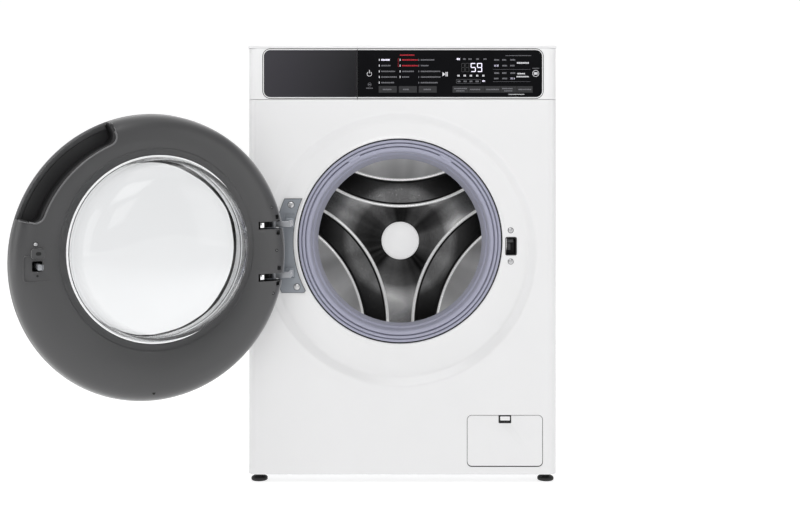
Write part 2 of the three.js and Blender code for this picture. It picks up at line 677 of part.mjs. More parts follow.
// ---- Door, modelled shut ----
function doorAssembly() {
  const put = (name, solid, material) => place(name, solid, material, doorOrigin);
  const R = door.radius;
  const armNotches = hinge.armZ.map((z) => block(-275, -206, at(-45), at(12), z - 8.5, z + 8.5));
  const frame = turned(
    [
      [172, at(-52)], [228, at(-52)], [243, at(-49)], [252, at(-43)], [R, at(-33)], [R, at(-29.5)], [253.5, at(-29.5)],
      [249, at(-40)], [241, at(-45.5)], [227, at(-48)], [172, at(-48)],
    ],
    44, portX, recess.z,
  );
  put("door_frame", cut(frame, ...armNotches), darkPlastic);
  put(
    "door_window",
    turned(
      [[0, at(-57)], [90, at(-55.8)], [171.5, at(-52.3)], [171.5, at(-49)], [90, at(-52.4)], [0, at(-53.6)]],
      36, portX, recess.z,
    ),
    blackGlass,
  );

  const cover = turned(
    [
      [0, at(-1)], [227, at(-1)], [236, at(-4)], [244.5, at(-10)], [250, at(-17.5)], [252.8, at(-29)], [256.5, at(-29)],
      [255.6, at(-22)], [252.5, at(-14)], [247, at(-7)], [238, at(-1)], [228, at(2)], [0, at(2)],
    ],
    44, portX, recess.z,
  );
  const collar = ring(167, 170, at(-26), at(1), 40, portX, portZ);
  const gripHole = slab(sector(portX, recess.z, grip.inner - 2.5, R + 10, grip.from - 0.6, grip.to + 0.6), at(-50), at(10), 8);
  const hookHole = block(hook.x - 9, hook.x + 9, at(-8), at(8), hook.z - 9, hook.z + 9);
  put(
    "door_inner_cover",
    cut(join(cut(cover, rod(168, at(-5), at(5), 40, portX, portZ)), collar), gripHole, hookHole, ...armNotches),
    greyPlastic,
  );
  const trough = cut(
    slab(sector(portX, recess.z, grip.inner - 2.1, grip.outer - 10, grip.from - 0.1, grip.to + 0.1), at(-42.3), at(1), 8),
    slab(sector(portX, recess.z, grip.inner, grip.outer + 20, grip.from + 0.6, grip.to - 0.6), at(-40), at(5), 8),
  );
  put("door_grip", trough, darkPlastic);

  const bowl = turned(
    [
      [0, at(81)], [58, at(80)], [104, at(75)], [130, at(64)], [147, at(42)], [155, at(18)], [158, at(-2)], [158, at(-32)],
      [173, at(-32)], [173, at(-27)], [163, at(-27)], [163, at(0)], [160, at(20)], [152, at(45)], [135, at(68)],
      [108, at(80)], [60, at(85)], [0, at(86)],
    ],
    40, portX, portZ,
  );
  put("door_glass", bowl, clearGlass);

  const leaf = block(-237, -206, at(-42), at(-39.4), 388, 527);
  const lugs = hinge.armZ.flatMap((z) =>
    [-1, 1].map((s) => block(-249.5, -230, at(-42.5), at(-35), z + s * 7.1 - 0.9, z + s * 7.1 + 0.9)));
  const pins = hinge.armZ.map((z) =>
    turnedUpright([[0, z - 8], [2.5, z - 8], [2.5, z + 8], [0, z + 8]], 12, hinge.x, at(hinge.depth)));
  const armRoom = hinge.armZ.map((z) => block(-256, -205, at(-46), at(-30), z - 6, z + 6));
  put("door_hinge_plate", join(cut(join(leaf, ...lugs), ...armRoom), ...pins), greyMetal);

  const claw = join(
    block(hook.x - 3.5, hook.x + 1.5, at(-12), at(30), hook.z - 5, hook.z + 5),
    block(hook.x - 3.5, hook.x + 6, at(25), at(30), hook.z - 5, hook.z + 5),
  );
  const boss = turnedUpright(
    [[0, hook.z - 5], [5, hook.z - 5], [5, hook.z + 5], [0, hook.z + 5]], 16, hook.x - 1, at(-10),
  );
  put("door_hook", join(claw, boss), greyMetal);
}

cabinet();
controls();
drawer();
hingeAndLock();
drainHatch();
tub();
dampers();
springs();
hoses();
drum();
doorAssembly();

export default root;
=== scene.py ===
import json
import math
import bmesh
import bpy
from mathutils import Matrix, Vector


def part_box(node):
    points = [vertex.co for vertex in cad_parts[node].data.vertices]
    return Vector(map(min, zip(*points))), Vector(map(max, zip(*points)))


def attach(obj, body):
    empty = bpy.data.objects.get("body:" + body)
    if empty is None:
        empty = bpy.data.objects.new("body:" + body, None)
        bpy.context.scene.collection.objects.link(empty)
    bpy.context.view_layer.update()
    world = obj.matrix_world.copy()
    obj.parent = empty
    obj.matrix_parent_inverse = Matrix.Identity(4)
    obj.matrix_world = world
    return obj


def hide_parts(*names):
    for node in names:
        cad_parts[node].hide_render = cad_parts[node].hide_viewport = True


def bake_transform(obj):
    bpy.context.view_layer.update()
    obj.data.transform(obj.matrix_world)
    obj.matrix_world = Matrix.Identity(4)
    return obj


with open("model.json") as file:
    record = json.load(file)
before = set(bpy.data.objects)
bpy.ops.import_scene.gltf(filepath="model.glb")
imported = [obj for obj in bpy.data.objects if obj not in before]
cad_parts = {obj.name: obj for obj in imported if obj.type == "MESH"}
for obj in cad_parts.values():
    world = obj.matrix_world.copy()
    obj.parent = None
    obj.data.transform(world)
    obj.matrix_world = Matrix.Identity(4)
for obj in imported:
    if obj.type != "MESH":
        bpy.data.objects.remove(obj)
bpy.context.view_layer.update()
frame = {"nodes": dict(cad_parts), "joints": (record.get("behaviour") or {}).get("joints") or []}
scene = bpy.context.scene
joints = {j["name"]: j for j in frame["joints"]}

# Lengths are in millimetres: across from the cabinet's middle, depth behind its front, height above the floor.
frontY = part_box("front_panel")[0].y
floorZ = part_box("front_left_foot")[0].z
portX = -5.0
portZ = 470.0
recessZ = 454.0
drumTilt = math.radians(-4)
doorSwing = math.radians(joints["door_hinge"]["range_deg"][1])
doorPivot = Vector(joints["door_hinge"]["pos_m"])


def at(x, depth, height):
    return Vector((x / 1000, frontY + depth / 1000, floorZ + height / 1000))


# Modelling helpers
def turnDrum(bm):
    bmesh.ops.rotate(bm, verts=bm.verts, cent=at(portX, 35, portZ), matrix=Matrix.Rotation(drumTilt, 3, "X"))


def openDoor(bm):
    bmesh.ops.rotate(bm, verts=bm.verts, cent=doorPivot, matrix=Matrix.Rotation(-doorSwing, 3, "Z"))


def lathe(bm, profile, x=portX, z=portZ, steps=128, closed=False):
    # profile is [radius, depth]; it is spun about a line that runs from front to back
    verts = [bm.verts.new(at(x + r, d, z)) for r, d in profile]
    edges = [bm.edges.new(pair) for pair in zip(verts, verts[1:])]
    if closed:
        edges.append(bm.edges.new((verts[-1], verts[0])))
    before = set(bm.verts)
    bmesh.ops.spin(bm, geom=verts + edges, cent=at(x, 0, z), axis=(0, 1, 0), angle=math.tau,
                   steps=steps, use_merge=True)
    new = [v for v in bm.verts if v not in before] + [v for v in verts if v.is_valid]
    bmesh.ops.remove_doubles(bm, verts=new, dist=1e-6)


def upright(bm, profile, x, depth, steps=48):
    # profile is [radius, height], spun about a vertical line
    verts = [bm.verts.new(at(x + r, depth, h)) for r, h in profile]
    edges = [bm.edges.new(pair) for pair in zip(verts, verts[1:])]
    bmesh.ops.spin(bm, geom=verts + edges, cent=at(x, depth, 0), axis=(0, 0, 1), angle=math.tau,
                   steps=steps, use_merge=True)
    bmesh.ops.remove_doubles(bm, verts=bm.verts, dist=1e-6)


def box(bm, x0, x1, d0, d1, h0, h1, bevel=0.0, segments=3):
    low, high = at(x0, d0, h0), at(x1, d1, h1)
    made = bmesh.ops.create_cube(bm, size=1)["verts"]
    bmesh.ops.scale(bm, verts=made, vec=high - low)
    bmesh.ops.translate(bm, verts=made, vec=(low + high) / 2)
    if bevel:
        edges = list({e for v in made for e in v.link_edges})
        bmesh.ops.bevel(bm, geom=edges, offset=bevel / 1000, offset_type="OFFSET", affect="EDGES",
                        segments=segments, profile=0.5, material=-1, clamp_overlap=True)
    return made


def roundedPlate(bm, x0, x1, h0, h1, corner, d0, d1, steps=8):
    # an upright plate with rounded corners; corner is one radius or four, from bottom left anticlockwise
    radii = [corner] * 4 if isinstance(corner, (int, float)) else corner
    centres = [(x0, h0, 1, 1, 180), (x1, h0, -1, 1, 270), (x1, h1, -1, -1, 0), (x0, h1, 1, -1, 90)]
    verts = []
    for (cx, ch, sx, sh, start), r in zip(centres, radii):
        count = steps if r else 0
        for i in range(count + 1):
            a = math.radians(start + 90 * i / max(count, 1))
            verts.append(bm.verts.new(at(cx + sx * r + r * math.cos(a), d0, ch + sh * r + r * math.sin(a))))
    face = bm.faces.new(verts)
    if d1 != d0:
        made = bmesh.ops.extrude_face_region(bm, geom=[face])["geom"]
        moved = [g for g in made if isinstance(g, bmesh.types.BMVert)]
        bmesh.ops.translate(bm, verts=moved, vec=(0, (d1 - d0) / 1000, 0))
    return verts


def disc(bm, x, h, r, d0, d1, steps=48):
    lathe(bm, [(0, d0), (r, d0), (r, d1), (0, d1)], x, h, steps)


def meshObject(name, bm, clean=True):
    if clean:
        bmesh.ops.remove_doubles(bm, verts=bm.verts, dist=2e-6)
        bmesh.ops.recalc_face_normals(bm, faces=bm.faces)
    mesh = bpy.data.meshes.new(name)
    bm.to_mesh(mesh)
    bm.free()
    obj = bpy.data.objects.new(name, mesh)
    scene.collection.objects.link(obj)
    return obj


def smoothBy(obj, degrees):
    obj.data.polygons.foreach_set("use_smooth", [True] * len(obj.data.polygons))
    obj.data.set_sharp_from_angle(angle=math.radians(degrees))


def applyModifiers(obj):
    graph = bpy.context.evaluated_depsgraph_get()
    mesh = bpy.data.meshes.new_from_object(obj.evaluated_get(graph))
    obj.modifiers.clear()
    old = obj.data
    obj.data = mesh
    bpy.data.meshes.remove(old)
    mesh.name = obj.name


def carve(obj, cutters, operation="DIFFERENCE"):
    for cutter in cutters:
        mod = obj.modifiers.new("carve", "BOOLEAN")
        mod.operation = operation
        mod.solver = "EXACT"
        mod.object = cutter
    bpy.context.view_layer.update()
    applyModifiers(obj)
    for cutter in cutters:
        bpy.data.objects.remove(cutter)


def turnMesh(obj, turn):
    bm = bmesh.new()
    bm.from_mesh(obj.data)
    turn(bm)
    bm.to_mesh(obj.data)
    bm.free()


def cutter(build):
    bm = bmesh.new()
    build(bm)
    return meshObject("cutter", bm)


def softenEdges(obj, width, segments=3, angle=30, material=-1):
    mod = obj.modifiers.new("softenEdges", "BEVEL")
    mod.width = width / 1000
    mod.segments = segments
    mod.limit_method = "ANGLE"
    mod.angle_limit = math.radians(angle)
    mod.material = material
    mod.use_clamp_overlap = True


def weighNormals(obj):
    mod = obj.modifiers.new("weighNormals", "WEIGHTED_NORMAL")
    mod.keep_sharp = True


def fit(obj, body, materials, stands=(), smooth=40):
    for m in materials if isinstance(materials, list) else [materials]:
        obj.data.materials.append(m)
    if smooth:
        smoothBy(obj, smooth)
    if body:  # a piece that bends between two bodies rides on neither
        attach(obj, body)
    if stands:
        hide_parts(*stands)
    return obj


def piece(name, build, body, materials, stands=(), smooth=40, after=None):
    bm = bmesh.new()
    build(bm)
    bmesh.ops.remove_doubles(bm, verts=bm.verts, dist=2e-6)
    bmesh.ops.recalc_face_normals(bm, faces=bm.faces)
    if after:
        after(bm)
    return fit(meshObject(name, bm, clean=False), body, materials, stands, smooth)


def arc(x, z, r, start, end, steps, depth):
    return [at(x + r * math.cos(math.radians(start + (end - start) * i / steps)), depth,
               z + r * math.sin(math.radians(start + (end - start) * i / steps))) for i in range(steps + 1)]


def bead(name, points, radius, cyclic=False):
    # a thin smooth tube along a line of points
    curve = bpy.data.curves.new(name, "CURVE")
    curve.dimensions = "3D"
    curve.bevel_depth = radius / 1000
    curve.bevel_resolution = 3
    curve.use_fill_caps = True
    line = curve.splines.new("POLY")
    line.points.add(len(points) - 1)
    for p, v in zip(line.points, points):
        p.co = (*v, 1)
    line.use_cyclic_u = cyclic
    temporary = bpy.data.objects.new(name, curve)
    scene.collection.objects.link(temporary)
    mesh = bpy.data.meshes.new_from_object(temporary.evaluated_get(bpy.context.evaluated_depsgraph_get()))
    bpy.data.objects.remove(temporary)
    obj = bpy.data.objects.new(name, mesh)
    scene.collection.objects.link(obj)
    return obj


# Materials
def finish(name, colour, roughness, metallic=0.0, grain=400.0, colourShift=0.05, roughShift=0.06, bump=0.02,
           stretch=(1, 1, 1), **shader):
    material = bpy.data.materials.new(name)
    material.use_nodes = True
    nodes, links = material.node_tree.nodes, material.node_tree.links
    surface = nodes["Principled BSDF"]
    surface.inputs["Metallic"].default_value = metallic
    for socket, value in shader.items():
        surface.inputs[socket.replace("_", " ")].default_value = value
    coordinates = nodes.new("ShaderNodeTexCoord")
    mapping = nodes.new("ShaderNodeMapping")
    mapping.inputs["Scale"].default_value = stretch
    links.new(coordinates.outputs["Object"], mapping.inputs["Vector"])
    broad = nodes.new("ShaderNodeTexNoise")
    broad.inputs["Scale"].default_value = 9.0
    broad.inputs["Detail"].default_value = 3.0
    fine = nodes.new("ShaderNodeTexNoise")
    fine.inputs["Scale"].default_value = grain
    fine.inputs["Detail"].default_value = 4.0
    links.new(coordinates.outputs["Object"], broad.inputs["Vector"])
    links.new(mapping.outputs["Vector"], fine.inputs["Vector"])
    tone = nodes.new("ShaderNodeValToRGB")
    tone.color_ramp.elements[0].position = 0.3
    tone.color_ramp.elements[1].position = 0.7
    tone.color_ramp.elements[0].color = (*[c * (1 - colourShift) for c in colour], 1)
    tone.color_ramp.elements[1].color = (*[min(1, c * (1 + colourShift)) for c in colour], 1)
    blendTones = nodes.new("ShaderNodeMath")
    blendTones.operation = "MULTIPLY_ADD"
    blendTones.inputs[1].default_value = 0.35
    links.new(fine.outputs["Fac"], blendTones.inputs[0])
    scaled = nodes.new("ShaderNodeMath")
    scaled.operation = "MULTIPLY"
    scaled.inputs[1].default_value = 0.65
    links.new(broad.outputs["Fac"], scaled.inputs[0])
    links.new(scaled.outputs[0], blendTones.inputs[2])
    links.new(blendTones.outputs[0], tone.inputs["Fac"])
    links.new(tone.outputs["Color"], surface.inputs["Base Color"])
    rough = nodes.new("ShaderNodeMapRange")
    rough.inputs["To Min"].default_value = max(0.02, roughness - roughShift)
    rough.inputs["To Max"].default_value = min(1, roughness + roughShift)
    links.new(fine.outputs["Fac"], rough.inputs["Value"])
    links.new(rough.outputs["Result"], surface.inputs["Roughness"])
    if bump:
        relief = nodes.new("ShaderNodeBump")
        relief.inputs["Strength"].default_value = bump
        relief.inputs["Distance"].default_value = 0.0005
        links.new(fine.outputs["Fac"], relief.inputs["Height"])
        links.new(relief.outputs["Normal"], surface.inputs["Normal"])
    return material


enamel = finish("whiteEnamel", (0.83, 0.83, 0.835), 0.32, grain=900, colourShift=0.012, bump=0.05,
                Coat_Weight=0.3, Coat_Roughness=0.15)
whitePlastic = finish("whitePlastic", (0.85, 0.85, 0.855), 0.36, grain=1200, colourShift=0.012, bump=0.04)
innerPlastic = finish("trayPlastic", (0.72, 0.74, 0.76), 0.42, grain=900, colourShift=0.03, bump=0.05)
glassBlack = finish("controlGlass", (0.002, 0.002, 0.003), 0.08, grain=30, colourShift=0.2, roughShift=0.03,
                    bump=0,
                    Specular_IOR_Level=0.22)
coverGrey = finish("doorCoverPlastic", (0.052, 0.052, 0.054), 0.4, grain=1600, colourShift=0.05, bump=0.12,
                   Coat_Weight=0.3, Coat_Roughness=0.3, Sheen_Weight=0.5, Sheen_Roughness=0.4)
# painted highlight: the door's dark plastic made lighter for the rim, the ridge round the grip and the cover screws,
# for the light they reflect
rimGreyPaintedHighlight = finish("doorRimPlastic", (0.13, 0.13, 0.135), 0.3, grain=1400, colourShift=0.05, bump=0.06,
                 Coat_Weight=0.5, Coat_Roughness=0.2, Sheen_Weight=0.6, Sheen_Roughness=0.4)
cupBlack = finish("gripPlastic", (0.012, 0.012, 0.013), 0.45, grain=1500, colourShift=0.1, bump=0.1)
# painted shadow: a black finish for sheets set into holes, gaps, grooves and creases where there is only shade
paintedShadowBlack = finish("shadowBlack", (0.004, 0.004, 0.004), 0.7, grain=500, colourShift=0.2, bump=0)
sealRubber = finish("sealRubber", (0.37, 0.375, 0.475), 0.42, grain=700, colourShift=0.04, bump=0.1,
                    Sheen_Weight=0.15)
blackRubber = finish("blackRubber", (0.018, 0.018, 0.018), 0.65, grain=700, colourShift=0.15, bump=0.15)
zinc = finish("zincSteel", (0.62, 0.63, 0.65), 0.34, 0.9, grain=160, colourShift=0.12, bump=0.05)
screwSteel = finish("screwSteel", (0.62, 0.62, 0.63), 0.32, 1.0, grain=500, colourShift=0.06)
hingeSteel = finish("hingeSteel", (0.29, 0.31, 0.34), 0.4, 0.6, grain=500, colourShift=0.06, bump=0.06)
armSteel = finish("armSteel", (0.36, 0.37, 0.39), 0.42, 0.55, grain=600, colourShift=0.05, bump=0.04)
# painted highlight: the arms' steel made much lighter where the arms bend into the plate
bendSteelPaintedHighlight = finish("bendSteelPaintedHighlight", (0.8, 0.8, 0.82), 0.35, 0.4, grain=600, colourShift=0.03, bump=0.02)
brightSteel = finish("brightSteel", (0.92, 0.92, 0.93), 0.14, 1.0, grain=300, colourShift=0.03, bump=0.01)
brushedSteel = finish("brushedSteel", (0.42, 0.42, 0.42), 0.3, 1.0, grain=220, colourShift=0.22, bump=0.06,
                      stretch=(1, 1, 12))
tubPlastic = finish("tubPlastic", (0.66, 0.67, 0.66), 0.55, grain=300, colourShift=0.06, bump=0.1)
castIron = finish("castWeight", (0.13, 0.13, 0.13), 0.8, grain=260, colourShift=0.2, bump=0.5)
castMetal = finish("castAluminium", (0.5, 0.5, 0.51), 0.5, 0.9, grain=420, colourShift=0.1, bump=0.3)
copper = finish("copperWinding", (0.55, 0.23, 0.1), 0.4, 0.8, grain=500, colourShift=0.2, bump=0.3,
                stretch=(1, 9, 1))
greyPlastic = finish("greyPlastic", (0.16, 0.16, 0.165), 0.5, grain=900, colourShift=0.06, bump=0.1)
markWhite = finish("markWhite", (0.75, 0.75, 0.78), 0.5, grain=800, colourShift=0.02, bump=0)
markGrey = finish("markGrey", (0.15, 0.15, 0.165), 0.5, grain=800, colourShift=0.02, bump=0)
markRed = finish("markRed", (0.5, 0.01, 0.025), 0.7, grain=800, colourShift=0.02, bump=0)
ledGlow = finish("ledGlow", (0.8, 0.78, 0.9), 0.4, grain=800, colourShift=0.01, bump=0,
                 Emission_Color=(0.85, 0.8, 1, 1), Emission_Strength=0.45)
clearGlass = finish("clearGlass", (0.88, 0.885, 0.89), 0.03, grain=60, colourShift=0.005, roughShift=0.01,
                    bump=0,
                    Transmission_Weight=1.0, IOR=1.26)
# painted glow: the white band at the edge of the door glass is given emission
frostedEdgeGlow = finish("glassEdge", (0.88, 0.89, 0.9), 0.3, grain=600, colourShift=0.02, bump=0.05,
                     Coat_Weight=0.4, Coat_Roughness=0.1, Emission_Color=(1, 1, 1, 1), Emission_Strength=0.25)
floorPale = finish("floorPale", (0.46, 0.46, 0.46), 0.85, grain=4, colourShift=0.004, bump=0,
                   Emission_Color=(1, 1, 1, 1), Emission_Strength=0.77)


def inlayWithPaintedReflection():
    # painted reflection: the drawer's inlay is coloured lighter than the glass beside it, and darker from its left to
    # its right
    material = finish("drawerInlay", (0.1, 0.1, 0.105), 0.22, grain=1200, bump=0.02, Specular_IOR_Level=0.3)
    nodes, links = material.node_tree.nodes, material.node_tree.links
    split = nodes.new("ShaderNodeSeparateXYZ")
    across = nodes.new("ShaderNodeMapRange")
    shade = nodes.new("ShaderNodeValToRGB")
    across.inputs["From Min"].default_value = -0.27
    across.inputs["From Max"].default_value = -0.088
    links.new(nodes["Texture Coordinate"].outputs["Object"], split.inputs[0])
    links.new(split.outputs["X"], across.inputs["Value"])
    links.new(across.outputs["Result"], shade.inputs["Fac"])
    shade.color_ramp.elements[0].color = (0.042, 0.04, 0.048, 1)
    shade.color_ramp.elements[1].color = (0.007, 0.007, 0.009, 1)
    links.new(shade.outputs["Color"], nodes["Principled BSDF"].inputs["Base Color"])
    return material


def steelWithPaintedLight(name, stops, roughness, streaks, arms=0.0):
    # polished steel with painted shade and painted highlights: its colour follows the distance from the drum's middle
    # and, across it, soft streaks
    material = finish(name, (0.5, 0.5, 0.5), roughness, 1.0, grain=240, colourShift=0.1, bump=0.02)
    nodes, links = material.node_tree.nodes, material.node_tree.links
    centre = nodes.new("ShaderNodeMapping")
    centre.vector_type = "POINT"
    centre.inputs["Location"].default_value = -at(portX, 350, 448)
    flat = nodes.new("ShaderNodeVectorMath")
    flat.operation = "MULTIPLY"
    flat.inputs[1].default_value = (1, 0, 1)
    distance = nodes.new("ShaderNodeVectorMath")
    distance.operation = "LENGTH"
    wander = nodes.new("ShaderNodeTexNoise")
    wander.inputs["Scale"].default_value = streaks
    wander.inputs["Detail"].default_value = 2.0
    direction = nodes.new("ShaderNodeVectorMath")
    direction.operation = "NORMALIZE"
    links.new(flat.outputs["Vector"], direction.inputs[0])
    links.new(direction.outputs["Vector"], wander.inputs["Vector"])
    spread = nodes.new("ShaderNodeMapRange")
    spread.inputs["From Max"].default_value = 0.24
    shade = nodes.new("ShaderNodeValToRGB")
    while len(shade.color_ramp.elements) < len(stops):
        shade.color_ramp.elements.new(0.5)
    for element, (place, value) in zip(shade.color_ramp.elements, stops):
        element.position = place / 240
        element.color = (value, value, value * 1.01, 1)
    strength = nodes.new("ShaderNodeMapRange")
    strength.inputs["From Min"].default_value = 0.35
    strength.inputs["From Max"].default_value = 0.65
    strength.inputs["To Min"].default_value = 1 - arms
    strength.inputs["To Max"].default_value = 1 + arms
    mix = nodes.new("ShaderNodeVectorMath")
    mix.operation = "SCALE"
    links.new(nodes["Texture Coordinate"].outputs["Object"], centre.inputs["Vector"])
    links.new(centre.outputs["Vector"], flat.inputs[0])
    links.new(flat.outputs["Vector"], distance.inputs[0])
    links.new(distance.outputs["Value"], spread.inputs["Value"])
    links.new(spread.outputs["Result"], shade.inputs["Fac"])
    links.new(wander.outputs["Fac"], strength.inputs["Value"])
    links.new(shade.outputs["Color"], mix.inputs[0])
    links.new(strength.outputs["Result"], mix.inputs["Scale"])
    links.new(mix.outputs["Vector"], nodes["Principled BSDF"].inputs["Base Color"])
    return material


def perforatedSteel(rows=16, columns=110):
    # the drum's wall: rows of small round holes in shallow dimples, laid out on its own UV map
    material = finish("perforatedSteel", (0.6, 0.6, 0.61), 0.24, 1.0, grain=260, colourShift=0.08, bump=0.02)
    nodes, links = material.node_tree.nodes, material.node_tree.links
    uv = nodes.new("ShaderNodeUVMap")
    uv.uv_map = "wall"
    grid = nodes.new("ShaderNodeMapping")
    grid.inputs["Scale"].default_value = (columns, rows, 1)
    cell = nodes.new("ShaderNodeVectorMath")
    cell.operation = "FRACTION"
    middle = nodes.new("ShaderNodeVectorMath")
    middle.operation = "DISTANCE"
    middle.inputs[1].default_value = (0.5, 0.5, 0)
    hole = nodes.new("ShaderNodeMapRange")
    hole.inputs["From Min"].default_value = 0.15
    hole.inputs["From Max"].default_value = 0.19
    mix = nodes.new("ShaderNodeMix")
    mix.data_type = "RGBA"
    mix.inputs["A"].default_value = (0.01, 0.01, 0.01, 1)
    links.new(uv.outputs["UV"], grid.inputs["Vector"])
    links.new(grid.outputs["Vector"], cell.inputs[0])
    links.new(cell.outputs["Vector"], middle.inputs[0])
    links.new(middle.outputs["Value"], hole.inputs["Value"])
    links.new(hole.outputs["Result"], mix.inputs["Factor"])
    links.new(nodes["Color Ramp"].outputs["Color"], mix.inputs["B"])
    links.new(mix.outputs["Result"], nodes["Principled BSDF"].inputs["Base Color"])
    dimple = nodes.new("ShaderNodeBump")
    dimple.inputs["Strength"].default_value = 0.6
    dimple.inputs["Distance"].default_value = 0.001
    links.new(middle.outputs["Value"], dimple.inputs["Height"])
    links.new(nodes["Bump"].outputs["Normal"], dimple.inputs["Normal"])
    links.new(dimple.outputs["Normal"], nodes["Principled BSDF"].inputs["Normal"])
    return material


keyGrey = finish("keyGrey", (0.017, 0.017, 0.019), 0.25, grain=600, colourShift=0.05, bump=0)
ghostGrey = finish("ghostGrey", (0.03, 0.03, 0.032), 0.4, grain=600, colourShift=0.05, bump=0)
inlayPaintedReflection = inlayWithPaintedReflection()
# painted shade and painted highlights on the drum's back: the tone rings from the middle outwards and the soft streaks
# stand for light and shade
starFinish = steelWithPaintedLight("starSteel", [(0, 0.1), (65, 0.055), (98, 0.11), (142, 0.85), (178, 0.4), (235,
    0.25)], 0.22,
                          1.6, 0.9)
bandSteel = steelWithPaintedLight("bandSteel", [(0, 0.1), (85, 0.2), (112, 0.26), (130, 0.07), (175, 0.03), (235,
    0.02)], 0.25,
                         2.0, 0.3)
segmentSteel = steelWithPaintedLight("segmentSteel", [(0, 0.3), (133, 0.42), (165, 0.62), (200, 0.95), (235, 0.8)],
                            0.45, 2.2, 0.25)
# painted highlight: near-white steel that also glows, for the bright lines along the drum's ridges
paintedRidgeHighlight = finish("paintedRidgeHighlight", (0.95, 0.95, 0.95), 0.2, 0.8, grain=300, colourShift=0.02, bump=0.01,
                    Emission_Color=(1, 1, 1, 1), Emission_Strength=0.3)
# painted light: the cap's white is given a glow so it shows bright deep inside the drum
capWhiteGlow = finish("drumCapPlastic", (0.86, 0.86, 0.865), 0.3, grain=1000, colourShift=0.01, bump=0.02,
                  Emission_Color=(1, 1, 1, 1), Emission_Strength=0.5)
wallSteel = perforatedSteel()

carriedOver = {
    zinc: ["base_frame", "rear_panel", "top_brace", "spring_left", "spring_right", "bearing_set"],
    tubPlastic: ["tub_front", "tub_rear"],
    castIron: ["front_counterweight", "top_counterweight"],
    castMetal: ["drum_spider"],
    copper: ["stator"],
    hingeSteel: ["rotor", "damper_rod_left", "damper_rod_right", "door_hinge_plate"],
    greyPlastic: ["damper_tube_left", "damper_tube_right", "drain_pump", "main_board_case"],
    brushedSteel: ["tub_heater"],
    blackRubber: ["mains_gland", "drain_hose", "sump_hose", "dispenser_hose", "fill_hose"],
    innerPlastic: ["drawer_tray", "dispenser_housing", "inlet_valve", "hatch_frame"],
    cupBlack: ["drain_filter"],
}
for material, names in carriedOver.items():
    for name in names:
        mesh = frame["nodes"][name].data
        mesh.materials.clear()
        mesh.materials.append(material)
print("materials are ready")

# Cabinet
body = {"halfWidth": 300, "sideRound": 18, "bottom": 18, "top": 745, "crest": 264, "floor": 248,
        "dish": 12, "mouth": 201.5, "lipEnd": 24}
hatch = {"left": 125, "right": 272.4, "bottom": 32.6, "top": 133.3, "corner": 9.4}
lock = {"x": 211.6, "z": 460, "halfWidth": 11.4, "halfHeight": 18}


def frontPanel(bm):
    w = body["halfWidth"]
    box(bm, -w, w, 0, 34, body["bottom"], body["top"])
    rounded = [e for e in bm.edges
               if abs(e.verts[0].co.x) > 0.29 and abs((e.verts[0].co - e.verts[1].co).z) > 0.1
               and max(v.co.y for v in e.verts) < frontY + 0.001]
    bmesh.ops.bevel(bm, geom=rounded, offset=body["sideRound"] / 1000, offset_type="OFFSET", affect="EDGES",
                    segments=10, profile=0.5, material=-1)
    # the front is refilled around the recess and the two cut-outs
    front = [f for f in bm.faces if f.normal.y < -0.99 and f.calc_area() > 0.1]
    bmesh.ops.delete(bm, geom=front, context="FACES_ONLY")
    back = [f for f in bm.faces if f.normal.y > 0.99 and f.calc_area() > 0.1]
    bmesh.ops.delete(bm, geom=back, context="FACES_ONLY")
    rim = [e for e in bm.edges if e.is_boundary and all(v.co.y < frontY + 1e-5 for v in e.verts)]
    around = bmesh.ops.create_circle(bm, segments=128, radius=(body["crest"] + 5) / 1000)["verts"]
    bmesh.ops.rotate(bm, verts=around, cent=(0, 0, 0), matrix=Matrix.Rotation(math.pi / 2, 3, "X"))
    bmesh.ops.translate(bm, verts=around, vec=at(portX, 0, recessZ))
    rim += list({e for v in around for e in v.link_edges})
    opening = roundedPlate(bm, hatch["left"], hatch["right"], hatch["bottom"], hatch["top"], hatch["corner"],
                           0, 0)
    loop = list({e for v in opening for e in v.link_edges})
    bmesh.ops.delete(bm, geom=list({f for v in opening for f in v.link_faces}), context="FACES_ONLY")
    rim += loop
    bmesh.ops.triangle_fill(bm, use_beauty=True, use_dissolve=False, edges=rim, normal=(0, -1, 0))
    inward = bmesh.ops.extrude_edge_only(bm, edges=[e for e in loop if e.is_valid])["geom"]
    bmesh.ops.translate(bm, verts=[g for g in inward if isinstance(g, bmesh.types.BMVert)], vec=(0, 0.0015,
        0))
    # crest, sloping wall and floor of the recess, then the mouth
    r, d = body["crest"], body["dish"]
    wall = [(r + 5, 0), (r + 3, 0.05), (r + 1.2, 0.4), (r - 0.6, 1.2), (r - 2.6, 2.6), (body["floor"] + 4,
        10),
            (body["floor"] + 1, 11.4), (body["floor"] - 2.5, d)]
    lathe(bm, wall, z=recessZ)
    m = body["mouth"]
    lathe(bm, [(m + 7, d), (m + 4.5, d - 0.2), (m + 2.4, d - 1.1), (m + 1, d - 1.8), (m - 0.6, d - 1.5),
               (m - 1.5, d - 0.4), (m - 1.6, d + 0.8), (m, d + 2), (m, body["lipEnd"])])
    floorLoops = [e for e in bm.edges if e.is_boundary and all(abs(v.co.y - at(0, d,
        0).y) < 1e-5 for v in e.verts)]
    slotRim = roundedPlate(bm, lock["x"] - lock["halfWidth"], lock["x"] + lock["halfWidth"],
                           lock["z"] - lock["halfHeight"], lock["z"] + lock["halfHeight"], 3, d, d)
    slotLoop = list({e for v in slotRim for e in v.link_edges})
    bmesh.ops.delete(bm, geom=list({f for v in slotRim for f in v.link_faces}), context="FACES_ONLY")
    bmesh.ops.triangle_fill(bm, use_beauty=True, use_dissolve=False, edges=floorLoops + slotLoop, normal=(0,
        -1, 0))
    sleeve = bmesh.ops.extrude_edge_only(bm, edges=slotLoop)["geom"]
    bmesh.ops.translate(bm, verts=[g for g in sleeve if isinstance(g, bmesh.types.BMVert)], vec=(0, 0.0015,
        0))


